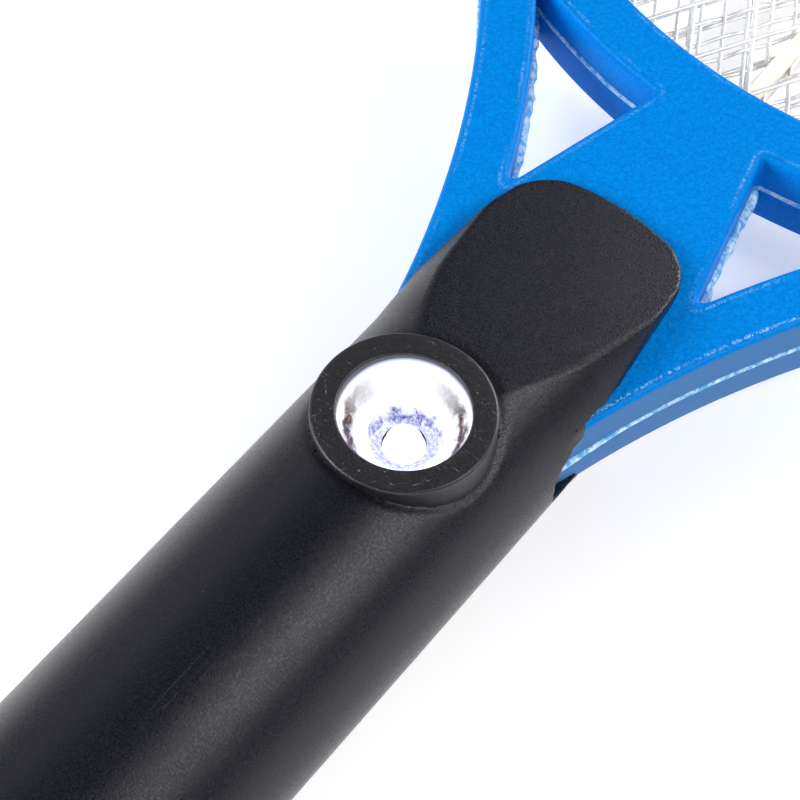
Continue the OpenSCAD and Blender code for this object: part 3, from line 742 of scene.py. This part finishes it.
def inside_loop(points, loop):
    """Which points lie inside a closed loop, by counting crossings."""
    hit = np.zeros(len(points), bool)
    a, b = loop, np.roll(loop, -1, axis=0)
    for (ax, ay), (bx, by) in zip(a, b):
        crosses = (ay > points[:, 1]) != (by > points[:, 1])
        if ay != by:
            hit ^= crosses & (points[:, 0] < (bx - ax) * (points[:, 1] - ay) / (by - ay) + ax)
    return hit


def plate(loops, starts, upward):
    """Flat triangles between an outer loop and its holes, whose points number from starts."""
    points = np.concatenate(loops)
    number = np.concatenate([s + np.arange(len(l)) for s, l in zip(starts, loops)])
    edges, base = [], 0
    for loop in loops:
        edges += [(base + k, base + (k + 1) % len(loop)) for k in range(len(loop))]
        base += len(loop)
    corners, _, faces, origins, _, _ = delaunay_2d_cdt(
        [Vector(p) for p in points.tolist()], edges, [], 1, 1e-7)
    back = [k[0] if k else None for k in origins]
    corners = np.array([[*p] for p in corners])
    faces = [f for f in faces if all(back[k] is not None for k in f)]
    middle = np.array([corners[list(f)].mean(axis=0) for f in faces])
    keep = inside_loop(middle, loops[0])
    for loop in loops[1:]:
        keep &= ~inside_loop(middle, loop)
    made = [tuple(int(number[back[k]]) for k in f) for f, ok in zip(faces, keep) if ok]
    return made if upward else flipped(made)


def hoop_half(name, node, up):
    """One half of the hoop, from the seam to its face, with rolled edges.

    It marks each point of the face's edge with how much pale edge line it gets, partly wear and partly
    a painted highlight, and which points of the outer wall get a painted grey sheen.
    """
    edge = 0.95
    turn = np.radians(np.linspace(0, 90, 8))
    rolled = [(edge * (1 - math.cos(a)), FACE_Z - edge * (1 - math.sin(a))) for a in turn]
    flat = [(inset, FACE_Z) for inset in (1.15, 1.4, 2.3)]
    wall = [(0.22, 0.0), (0.0, 0.22), (0.0, 1.6)] + rolled + flat
    ledge = CARRIER_W + 0.35
    inner = [(ledge, 0.0), (ledge, LIP_Z), (0.0, LIP_Z)] + rolled + flat
    # each edge kind's share of the pale edge line, which is partly wear and partly a painted highlight
    edges = (("outline", wall, 1.0, hoop_outline),
             ("rim", inner, 0.3, lambda inset: rim_loop(inset - RIM_W)[::-1]),
             ("right", wall, 0.45, lambda inset: neck_hole_loop(inset, 1)[::-1]),
             ("left", wall, 0.35, lambda inset: neck_hole_loop(inset, -1)[::-1]))
    points, faces, edge_wear_and_highlight, painted_wall_sheen, total = [], [], [], [], 0
    top, bottom, top_starts, bottom_starts = [], [], [], []
    for kind, profile, wear_and_highlight_share, loop_at in edges:
        rows = []
        for inset, z in profile:
            loop = loop_at(inset)
            rows.append(np.c_[loop, np.full(len(loop), z)])
            level = max(0.0, 1 - abs(inset - edge - 0.08) / 0.32) if z == FACE_Z else 0.0
            # outline edges on the -X side, away from the key light, get 0.35 of the pale line, as its
            # painted highlight part belongs to the lit +X side
            left_side = loop[:, 0] * (kind == "outline") < 0
            edge_wear_and_highlight += (level * wear_and_highlight_share * np.where(left_side, 0.35, 1)).tolist()
            # the outer wall below the rolled edge gets the painted grey sheen
            painted_wall_sheen += [float(kind == "outline" and z < FACE_Z - 0.6)] * len(loop)
        count = len(loop)
        faces += [tuple(k + total for k in f) for f in bridge(len(rows), count)]
        top_starts.append(total + (len(rows) - 1) * count)
        bottom_starts.append(total)
        top.append(rows[-1][:, :2])
        bottom.append(rows[0][:, :2])
        points += rows
        total += count * len(rows)
    points = np.concatenate(points)
    faces += plate(top, top_starts, True) + plate(bottom, bottom_starts, False)
    if not up:
        points = points * [1, 1, -1]
        faces = flipped(faces)
    made = piece(name, node, "blue_plastic", BLUE, points, faces, sharp=35)
    mark(made, "edge_wear_and_highlight", edge_wear_and_highlight)
    mark(made, "painted_wall_sheen", painted_wall_sheen)


def uneven(count, seed, smooth, power=1.0):
    """A smooth seeded unevenness from 0 to 1 along a closed line."""
    rng = np.random.default_rng(seed)
    raw = rng.random(count)
    kernel = np.hanning(smooth + 2)[1:-1]
    line = np.convolve(np.r_[raw[-smooth:], raw, raw[:smooth]], kernel / kernel.sum(), "same")
    line = line[smooth:-smooth]
    line = (line - line.min()) / (line.max() - line.min())
    return line ** power


def along(loop, spacing):
    """A closed loop resampled to even spacing, with its outward side."""
    ends = np.r_[loop, loop[:1]]
    run = np.r_[0, np.cumsum(np.linalg.norm(np.diff(ends, axis=0), axis=1))]
    at = np.arange(0, run[-1], spacing)
    line = np.stack([np.interp(at, run, ends[:, k]) for k in range(2)], axis=1)
    ahead = np.roll(line, -1, axis=0) - np.roll(line, 1, axis=0)
    side = np.stack([ahead[:, 1], -ahead[:, 0]], axis=1)
    return line, side / np.linalg.norm(side, axis=1)[:, None]


def seam_bead(loop, seed, ragged, skip=None):
    """The rough bead squeezed out of the seam along one loop, widest on walls that face +X."""
    line, side = along(loop, 0.45)
    if skip is not None:
        keep = ~skip(line)
        first = int(np.argmax(keep & ~np.roll(keep, 1)))
        keep = np.roll(keep, -first)
        line, side = np.roll(line, -first, axis=0)[keep], np.roll(side, -first, axis=0)[keep]
    count = len(line)
    room = np.minimum(HOOP_A - np.abs(line[:, 0]), HOOP_END - line[:, 1])
    wide = ragged * np.clip(side[:, 0] * 2 - 0.6, 0.0, 1.0)
    if skip is not None:
        wide = wide * np.clip((24 - line[:, 1]) / 8, 0.0, 1.0)
    proud = 0.26 + 0.1 * uneven(count, seed, 35)
    proud += wide * (0.25 + 0.75 * uneven(count, seed + 3, 5))
    proud = proud * np.clip(room / 4 - 0.05, 0.0, 1.0) - 0.02
    tall = 0.38 + 0.12 * uneven(count, seed + 1, 25, 1.3)
    tall += wide * (0.15 + 0.6 * uneven(count, seed + 4, 6))
    drift = 0.2 * (uneven(count, seed + 2, 25) - 0.5) - 0.3 * wide
    section = [(-0.45, -0.4), (0.0, -1.0), (0.75, -0.6), (1.0, 0.05), (0.7, 0.65), (0.0, 1.0),
               (-0.45, 0.4)]
    rows = []
    for out, high in section:
        reach = np.where(out > 0, out * proud, out)
        spot = line + side * reach[:, None]
        rows.append(np.c_[spot, drift + high * tall])
    points = np.stack(rows, axis=1).reshape(-1, 3)
    if skip is None:
        return points, bridge(count, len(section), looped=True)
    return points, bridge(count, len(section)) + end_caps(count, len(section))


def hoop():
    """Two halves, and the bead that their moulds left along the seam."""
    hoop_half("hoop_front_half", "front_frame", True)
    hoop_half("hoop_rear_half", "rear_frame", False)
    parts = [seam_bead(hoop_outline(0.0), 11, 0.5, lambda p: p[:, 1] < STEP_Y + 0.5)]
    parts += [seam_bead(neck_hole_loop(0.0, side)[::-1], 31 + side, 1.0) for side in (1, -1)]
    piece("hoop_seam_bead", None, "blue_plastic", flash_blue(), *gather(parts))


# ---- nets


def net(pitch, radius, crimp, per_crossing, sides, bead):
    """Crimped wires of two families that pass over and under each other.

    i numbers a family's wires and j the crossings along one. per_crossing says where the path's
    points lie about each crossing, and bead is how much a wire swells there.
    """
    reach = CARRIER_W - RIM_W - 1
    a, b = HOOP_A + reach, HOOP_B + reach
    turn = math.radians(30)
    cross = pitch / math.sin(2 * turn)
    step = np.array([[math.sin(turn), math.cos(turn)], [-math.sin(turn), math.cos(turn)]]) * cross
    count = int(b / (cross * math.cos(turn))) + 6
    parts = []
    for family in (0, 1):
        for i in range(-count, count + 1):
            j = np.concatenate([np.arange(-2 * count, 2 * count + 1) + s for s in per_crossing])
            j = np.sort(j)
            spot = (i + 0.5) * step[1 - family] + (j[:, None] + 0.5) * step[family]
            inside = (spot[:, 0] / a) ** 2 + (spot[:, 1] / b) ** 2 < 1
            if inside.sum() < 4:
                continue
            j, spot = j[inside], spot[inside]
            high = crimp * np.cos(math.pi * (j + i)) * (1 if family else -1)
            off = np.abs(j - np.round(j)) * cross
            thick = radius * (1 + bead * np.exp(-(off / (2 * radius)) ** 2))
            path = np.c_[spot[:, 0], spot[:, 1] + HOOP_CY, high]
            parts.append(tube(path, thick, sides))
    return gather(parts)


def band_ring(past, z_low, z_high, soft, count=220):
    """A ring under the hoop's lip with softened edges, that shows past the rim."""
    off_in, off_out = -RIM_W - past, -RIM_W + CARRIER_W
    profile = [(off_in, z_low + soft), (off_in, z_high - soft), (off_in + soft, z_high),
               (off_out - soft, z_high), (off_out, z_high - soft), (off_out, z_low + soft),
               (off_out - soft, z_low), (off_in + soft, z_low)]
    rows = [np.c_[rim_loop(off, count), np.full(count, z)] for off, z in profile]
    points = np.concatenate(rows)
    return points, flipped(bridge(len(rows), count, looped=True))


def nets():
    middle = sum(near("front_grid", 2)) / 2
    beaded = [-0.08, -0.03, 0.03, 0.08, 0.3, -0.3]
    points, faces = net(9.1, 0.36, 0.1, beaded, 8, 0.22)
    ring = band_ring(0.8, -0.3, 0.3, 0.08)
    points, faces = gather([(points, faces), ring])
    both_sides("net", "grid", "net_steel", STEEL, points + [0, 0, middle], faces, 50)
    piece("net_live", "inner_grid", "net_steel", STEEL,
          *net(3.5, 0.34, 0.22, [0.0, 0.5], 6, 0.0))


def carriers():
    """The white rings that hold the live net off the outer ones, each with a rib along the middle."""
    low, high = near("front_carrier", 2)
    soft, half, count = 0.25, 1.1, 60
    reach = HOOP_B - RIM_W + 0.6
    section = [(-half, low + soft), (-half + soft, low), (half - soft, low), (half, low + soft),
               (half, high - soft), (half - soft, high), (-half + soft, high), (-half, high - soft)]
    rib = [[x, y, z] for y in np.linspace(HOOP_CY - reach, HOOP_CY + reach, count)
           for x, z in section]
    rib_faces = flipped(bridge(count, len(section)))
    points, faces = gather([(rib, rib_faces), band_ring(0.9, low, high, 0.2)])
    both_sides("insulator", "carrier", "ivory_plastic", IVORY, points, faces, 30)


# ---- handle


def shell_outside(x, y, z):
    """The handle half above the seam: round bar, sloping facet and tongue, edges rounded."""
    fuller = 0.7 * np.clip((y - 13) / 9, 0, 1) * np.clip((z - 5.6) / 1.4, 0, 1)
    bar = np.hypot(x, z) - HANDLE_R - fuller
    facet = (z - FACET_Z + FACET_SLOPE * y) * math.cos(math.atan(FACET_SLOPE))
    body = round_max(bar, facet, 0.4)
    side = np.abs(x) - (16.8 - 0.13 * (y - 17))
    tip = y - (TONGUE_Y - 0.016 * x * x)
    plan = round_max(side, tip, 5.0)
    return round_max(body, plan, 0.35)


def shell_inside(x, y, z):
    """The hollow of the handle half."""
    facet = z - FACET_Z + FACET_SLOPE * y
    return np.maximum.reduce([np.hypot(x, z) - (HANDLE_R - WALL), facet + WALL, y - 12.1])


def shell_distance(p):
    """A handle half with the slot that takes the hoop's neck, whose lower edge rises to the face."""
    x, y, z = p
    body = np.maximum(shell_outside(x, y, z), -shell_inside(x, y, z))
    neck = FLARE_R - np.hypot(np.abs(x) - FLARE_C[0], y - FLARE_C[1])
    edge = np.interp(y, [9.8, 12.3, 14.8, 17.0, 18.4], [1.4, 3.8, 4.8, 5.0, FACE_Z + 0.4])
    below = round_max(SLOT_Y - y, z - edge, 0.3)
    inside = np.maximum.reduce([SLOT_Y - y, neck + 0.6, z - (FACE_Z + 0.4)])
    return round_max(body, -np.minimum(below, inside), 0.15)


def upper_shape(p):
    """The torch side half of the handle, without its cut at the seam."""
    x, y, z = p
    body = shell_distance(p)
    torch = np.hypot(x, y) - BEZEL_R
    body = body + 0.25 * np.exp(-(torch / 0.8) ** 2) * (z > 5)
    cuts = [np.hypot(x, y - BUTTON_Y) - (BUTTON_R + 0.3)]
    cuts += [np.hypot(x - led_x, y - LED_Y) - 1.6 for led_x in (LED_X, -LED_X)]
    half_w, past = STEM_W + 0.3, 2.4
    for start, stop in ((SWITCH_Y, SWITCH_Y + SWITCH_TRAVEL), (PLUG_Y - PLUG_TRAVEL, PLUG_Y)):
        cuts.append(box_distance([x, y], [-half_w, start - past], [half_w, stop + past], 0.6))
    top = np.minimum.reduce(cuts)
    body = round_max(body, -np.maximum(top, 8 - z), 0.25)
    return np.maximum(body, -np.maximum(torch + 0.3, 5 - z))


def lower_shape(p):
    """The plain half of the handle, drawn in a hair where it passes under the other half."""
    x, y, z = p[0], p[1], -p[2]
    body = shell_distance([x, y, z]) + 0.05 * (z < 0)
    bar = np.maximum.reduce([np.hypot(x, z) - HANDLE_R + 0.3, np.abs(y - LANYARD[0]) - 4.5, 9.3 - z])
    body = np.minimum(body, bar)
    body = round_max(body, LANYARD[2] - np.hypot(y - LANYARD[0], z + LANYARD[1]), 0.3)
    for spots, depth in ((BODY_SCREWS, BODY_DEPTH), (NECK_SCREWS, NECK_DEPTH)):
        for sx, sy in spots:
            body = round_max(body, -np.maximum(np.hypot(x - sx, y - sy) - 2.4, depth - z), 0.2)
    return body


def shells():
    across = steps((-17.6, 17.6, 0.42))
    upward = steps((-0.8, 17.6, 0.42))
    upper_y = steps((SHELL_END - 0.6, -163, 0.45), (-163, -117, 2.0), (-117, -73, 0.45),
                    (-73, -15, 2.0), (-15, TONGUE_Y + 0.6, 0.36))
    lower_y = steps((SHELL_END - 0.6, -180, 0.5), (-180, -147, 2.0), (-147, -137, 0.5),
                    (-137, -71, 2.0), (-71, -61, 0.5), (-61, -3, 2.0), (-3, TONGUE_Y + 0.6, 0.45))
    for name, node, shape, sign, lap, ys, zs in (
            ("handle_upper", "upper_shell", upper_shape, 1, 0.0, upper_y, upward),
            ("handle_lower", "lower_shell", lower_shape, -1, 0.35, lower_y,
             [-v for v in upward][::-1])):
        def cut(p):
            return np.maximum.reduce([shape(p), -lap - sign * p[2], SHELL_END - p[1]])
        piece(name, node, "black_plastic", BLACK, *skin(cut, across, ys, zs, shape))


def tail_distance(p):
    x, y, z = p
    disc = round_max(np.hypot(x, z) - HANDLE_R, TAIL_FACE - y, 1.0)
    disc = np.maximum(disc, y - (SHELL_END - 0.02))
    pins = pins_distance(x, z, PIN_R + 0.3)
    recess = np.maximum(box_distance([x, z], [-13.2, -5.2], [13.2, 5.2], 4.0), y - TAIL_FACE - 0.5)
    return round_max(round_max(disc, -recess, 0.2), -pins, 0.25)


def tail():
    across = steps((-17.6, 17.6, 0.4))
    piece("handle_tail_cap", "tail_cap", "black_plastic", BLACK,
          *skin(tail_distance, across, steps((TAIL_FACE - 0.4, SHELL_END + 0.4, 0.3)), across))


# ---- torch


def torch_bezel():
    """The ring round the lamp, whose top leans down towards the hoop."""
    top, soft, seat_z, seat_r = BEZEL_FACE_Z, 0.45, 15.78, 10.6
    profile = [(BEZEL_R, BEZEL_FOOT_Z), (BEZEL_R, top - 1.4)]
    profile += arc((BEZEL_R - soft, top - soft), soft, 0, 90, 7)
    profile += [(BEZEL_R - 1.2, top), (BEZEL_OPEN_R + 0.9, top)]
    profile += arc((BEZEL_OPEN_R + 0.3, top - 0.3), 0.3, 90, 180, 6)
    profile += [(BEZEL_OPEN_R, top - 0.9), (BEZEL_OPEN_R + 0.05, seat_z), (seat_r, seat_z),
                (seat_r, BEZEL_FOOT_Z), (BEZEL_R, BEZEL_FOOT_Z)]
    points, faces = lathe(profile, 160)
    points[:, 2] -= BEZEL_SLOPE * points[:, 1] * (points[:, 2] > seat_z + 0.1)
    piece("torch_bezel_ring", "torch_bezel", "bezel_plastic", bezel_black(), points, faces, sharp=40)


def torch_cup():
    """A parabolic cup with a flange at its mouth."""
    low, high = near("reflector", 2)
    foot_r, mouth_r, flange_r = 2.9, 8.7, 10.4
    focal = (mouth_r ** 2 - foot_r ** 2) / (high - low)
    rise = np.linspace(0, 1, 40) ** 1.3 * (high - low)
    cup = [(math.sqrt(foot_r ** 2 + focal * h), low + h) for h in rise]
    back = [(r + 0.6, z) for r, z in cup[-8::-1]]
    profile = cup + [(flange_r, high), (flange_r, high - 0.85)] + back + [cup[0]]
    points, faces = lathe(profile, 128)
    piece("torch_reflector", "reflector", "reflector_chrome", cup_painted_glow(), points, flipped(faces),
          sharp=45)


def torch_lamp():
    foot = near("torch_led", 2)[0]
    dome_r, flange_r = 2.5, 2.85
    profile = [(0.01, foot), (flange_r, foot), (flange_r, foot + 0.9), (dome_r, foot + 0.95)]
    profile += arc((0.0, foot + 2.0), dome_r, 0, 89.5, 16)
    piece("torch_lamp", "torch_led", "led_clear", lit_lamp(), *lathe(profile, 48), sharp=40)


# ---- controls


def button():
    """A dished red cap with a flange under the handle's wall and a seat for its spring below."""
    low, high = near("zap_button", 2)
    soft = 0.8
    flat_r = BUTTON_R - soft
    core_r, flange_r, flange_z = 2.6, 7.6, low + 1.2
    seat_in, seat_out, seat_top = 4.4, 5.4, low + 1.7
    profile = [(core_r, low), (seat_in, low), (seat_in, seat_top), (seat_out, seat_top),
               (seat_out, low), (flange_r - 0.15, low), (flange_r, low + 0.15),
               (flange_r, flange_z - 0.15), (flange_r - 0.15, flange_z), (BUTTON_R, flange_z + 0.05)]
    profile += arc((flat_r, high - soft), soft, 0, 90, 8)
    dish = np.linspace(0.96, 0.0, 14) * flat_r
    profile += [(max(r, 0.01), high - 0.45 * (1 - (r / flat_r) ** 2)) for r in dish]
    roof = low + 1.42
    points, faces = gather([lathe(profile, 72),
                            lathe([(0.01, roof), (core_r, roof), (core_r, low)], 72)])
    piece("zap_button_cap", "zap_button", "red_plastic", RED, points + [0, BUTTON_Y, 0], faces,
          sharp=40, body="zap_button")


def slider_cap(x, y, z, middle, half_l, height, ribs):
    """A slider's cap that hugs the round handle, with grip ribs across its top."""
    radius, off, half_w = np.hypot(x, z), np.abs(y - middle), 4.0
    wave = 0.28 * np.cos(2 * math.pi * off / ribs) * (off < half_l - 1)
    top = radius - (HANDLE_R + height - 0.3) - wave
    block = round_max(top, np.maximum(np.abs(x) - half_w, off - half_l), 0.6)
    return np.maximum.reduce([block, HANDLE_R + 0.3 - radius, 5 - z])


def slider_stem(p, middle, low):
    return box_distance(p, [-STEM_W, middle - 2, low], [STEM_W, middle + 2, HANDLE_R + 1], 0.2)


def pins_distance(x, z, radius):
    return np.minimum(np.hypot(x - PIN_X, z), np.hypot(x + PIN_X, z)) - radius


def knob_distance(p):
    cap = slider_cap(*p, SWITCH_Y, 4.5, 1.9, 1.8)
    return np.minimum(cap, slider_stem(p, SWITCH_Y, near("switch_knob", 2)[0]))


def carriage_distance(p):
    cap = slider_cap(*p, PLUG_Y, 5.0, 2.1, 2.0)
    half = np.array([near("plug_carriage", 0)[1], 6.0, 4.5])
    block = box_distance(p, [0, PLUG_Y, 0] - half, [0, PLUG_Y, 0] + half, 0.6)
    body = np.minimum.reduce([cap, block, slider_stem(p, PLUG_Y, 2.0)])
    return np.maximum(body, -pins_distance(p[0], p[2], PIN_R + 0.02))


def sliders():
    piece("power_switch_knob", "switch_knob", "red_plastic", RED,
          *skin(knob_distance, steps((-4.5, 4.5, 0.2)), steps((SWITCH_Y - 5, SWITCH_Y + 5, 0.2)),
                steps((11.6, 19.6, 0.2))), body="power_switch")
    grey = black_abs("slider_black", (28, 28, 31), (38, 38, 41))
    piece("plug_slider", "plug_carriage", "black_plastic", grey,
          *skin(carriage_distance, steps((-13.6, 13.6, 0.3)),
                steps((PLUG_Y - 6.6, PLUG_Y + 6.6, 0.25)), steps((-5.1, 19.8, 0.3))),
          body="charging_plug")


def plug_pins():
    """Two round pins whose free ends are rounded off."""
    low, high = near("plug_pins", 1)
    nose = low + 1.0
    profile = [(0.01, high), (PIN_R, high), (PIN_R, nose)]
    profile += [(PIN_R - 0.7 * (1 - math.cos(a)), nose - math.sin(a))
                for a in np.linspace(0.2, math.pi / 2, 6)] + [(0.01, low)]
    turned, faces = lathe(profile, 40)
    along_y = turned[:, [0, 2, 1]]
    points, faces = gather([(along_y + [x, 0, 0], faces) for x in (PIN_X, -PIN_X)])
    piece("plug_pin_pair", "plug_pins", "pin_brass", BRASS, points, faces, sharp=40,
          body="charging_plug")


def indicators():
    """A red and a green lamp with domed ends."""
    low, high = near("indicator_leds", 2)
    radius = 1.5
    profile = [(0.01, low), (radius, low)] + arc((0, high - radius), radius, 0, 89.5, 12)
    points, faces = lathe(profile, 32)
    parts = gather([(points + [x, LED_Y, 0], faces) for x in (-LED_X, LED_X)])
    made = piece("indicator_lamps", "indicator_leds", "indicator_lens",
                 lens("lens_red", (190, 24, 18)), *parts, sharp=40)
    made.data.materials.append(lens("lens_green", (40, 170, 60)))
    for face in made.data.polygons:
        face.material_index = int(made.data.vertices[face.vertices[0]].co.x > 0)


def screw_head(radius, height):
    """A pan head with a cross recess; its underside is at z = 0 and it points down."""
    def distance(p):
        x, y, z = p
        head = round_max(np.hypot(x, y) - radius, np.abs(z + height / 2) - height / 2, 0.25)
        long, short = radius * 0.62, radius * 0.16
        cross = np.minimum(np.maximum(np.abs(x) - long, np.abs(y) - short),
                           np.maximum(np.abs(y) - long, np.abs(x) - short))
        return round_max(head, -np.maximum(cross, z + height * 0.45), 0.06)
    spacing, reach = 0.13, radius + 0.3
    across = steps((-reach, reach, spacing))
    return skin(distance, across, across, steps((-height - 0.2, 0.2, spacing)))


def screws(name, node, spots, radius, height, shank, length):
    """Equal screws whose heads lie below the given spots and whose shanks rise from them."""
    head, faces, _ = screw_head(radius, height)
    levels = np.linspace(0, length, int(length / 0.25))
    angles = full_turn(16)
    stem = [[r * math.cos(a), r * math.sin(a), z]
            for r, z in zip(shank * (1 - 0.12 * (np.arange(len(levels)) % 2)), levels)
            for a in angles]
    stem_faces = bridge(len(levels), len(angles))
    parts = []
    for spot in spots:
        parts += [(head + spot, faces), (np.array(stem) + spot, stem_faces)]
    piece(name, node, "screw_steel", SCREW, *gather(parts), sharp=40)


def fasteners():
    hoop_z, body_z, neck_z = -FACE_Z + 1.7, -BODY_DEPTH, -NECK_DEPTH
    spots = [(*rim_point(t, -3.0), hoop_z) for t in HOOP_SCREW_T]
    screws("hoop_screw_set", "hoop_screws", spots, 1.8, 1.2, 0.9, 4 - hoop_z)
    spots = [(x, y, body_z) for x, y in BODY_SCREWS] + [(x, y, neck_z) for x, y in NECK_SCREWS]
    screws("handle_screw_set", "handle_screws", spots, 2.2, 1.5, 1.1, 12.4)


# ---- parts kept from the CAD


def inner_parts():
    """Finishes for the CAD parts inside the handle, with a small bevel on the solid ones."""
    leads = {
        "grid": ("red", (168, 20, 16), (190, 36, 26)),
        "battery": ("dark", (26, 26, 28), (40, 40, 44)),
        "torch": ("white", (214, 214, 208), (232, 232, 226)),
        "control": ("blue", (30, 60, 150), (44, 78, 172)),
        "charge": ("brown", (92, 52, 28), (110, 66, 38)),
    }
    bent = {f"{use}_leads": moulded(f"lead_{colour}", dark, pale, 0.35, 0.5, 3.0, 0.1)
            for use, (colour, dark, pale) in leads.items()}
    bent["button_spring"] = steel("spring_steel", 200)
    coated = {
        "transformer_core": ("ferrite", (52, 52, 56), (70, 70, 74), 0.55, 0.75, 2.5, 0.3),
        "transformer_winding": ("tape", (214, 150, 30), (232, 172, 48), 0.3, 0.45, 1.5, 0.15),
        "hv_capacitor": ("film_red", (150, 30, 22), (172, 44, 32), 0.2, 0.35, 1.2, 0.2),
        "charge_capacitor": ("film_yellow", (214, 160, 40), (230, 178, 60), 0.3, 0.45, 2.0, 0.1),
        "filter_capacitor": ("sleeve", (26, 44, 110), (36, 56, 130), 0.2, 0.35, 2.0, 0.1),
        "resistors": ("lacquer", (206, 176, 130), (220, 192, 148), 0.3, 0.45, 3.0, 0.1),
        "battery": ("cell_wrap", (40, 96, 160), (52, 110, 176), 0.2, 0.35, 1.5, 0.08),
    }
    solid = {node: moulded(*look) for node, look in coated.items()}
    board = moulded("solder_mask", (14, 84, 40), (22, 104, 52), 0.25, 0.45, 2.0, 0.2)
    solid |= dict.fromkeys(("torch_board", "control_board", "main_board"), board)
    epoxy = moulded("epoxy_black", (20, 20, 22), (34, 34, 36), 0.35, 0.55, 3.0, 0.2)
    solid |= dict.fromkeys(("tact_switch", "switch_lever", "transistor", "diodes"), epoxy)
    solid |= {"slide_switch": steel("switch_can", 190), "battery_tabs": steel("nickel", 205),
              "charge_contacts": BRASS}
    for node, material in (bent | solid).items():
        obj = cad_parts[node]
        obj.data.materials.clear()
        obj.data.materials.append(material)
        if node in bent:
            obj.data.polygons.foreach_set("use_smooth", [True] * len(obj.data.polygons))
            continue
        soften = obj.modifiers.new("soften", "BEVEL")
        soften.width = 0.2 * MM
        soften.segments = 2
        soften.limit_method = "ANGLE"
        soften.angle_limit = math.radians(50)


def floor():
    """A wide pale sheet under the swatter."""
    count, half, level = 40, 1600.0, -0.3
    line = np.linspace(-half, half, count)
    points = np.array([[x, y, level] for y in line for x in line]) - ORIGIN / MM
    made = new_mesh("floor", points, bridge(count, count, closed=False))
    n = Nodes("paper")
    fibre = n.noise(n.scaled(0.8), 3.0)
    tone = n.two_tone(fibre, (243, 242, 243), (247, 246, 247), 0.3, 0.7)
    made.data.materials.append(n.finish(tone, n.spread(fibre, 0.6, 0.75),
                                        n.bump(fibre, 0.05, 0.05), Emission_Strength=0.33,
                                        Emission_Color=(1, 1, 1, 1)))


camera()
studio()
floor()
hoop()
nets()
carriers()
shells()
tail()
torch_bezel()
torch_cup()
torch_lamp()
button()
sliders()
plug_pins()
indicators()
fasteners()
inner_parts()
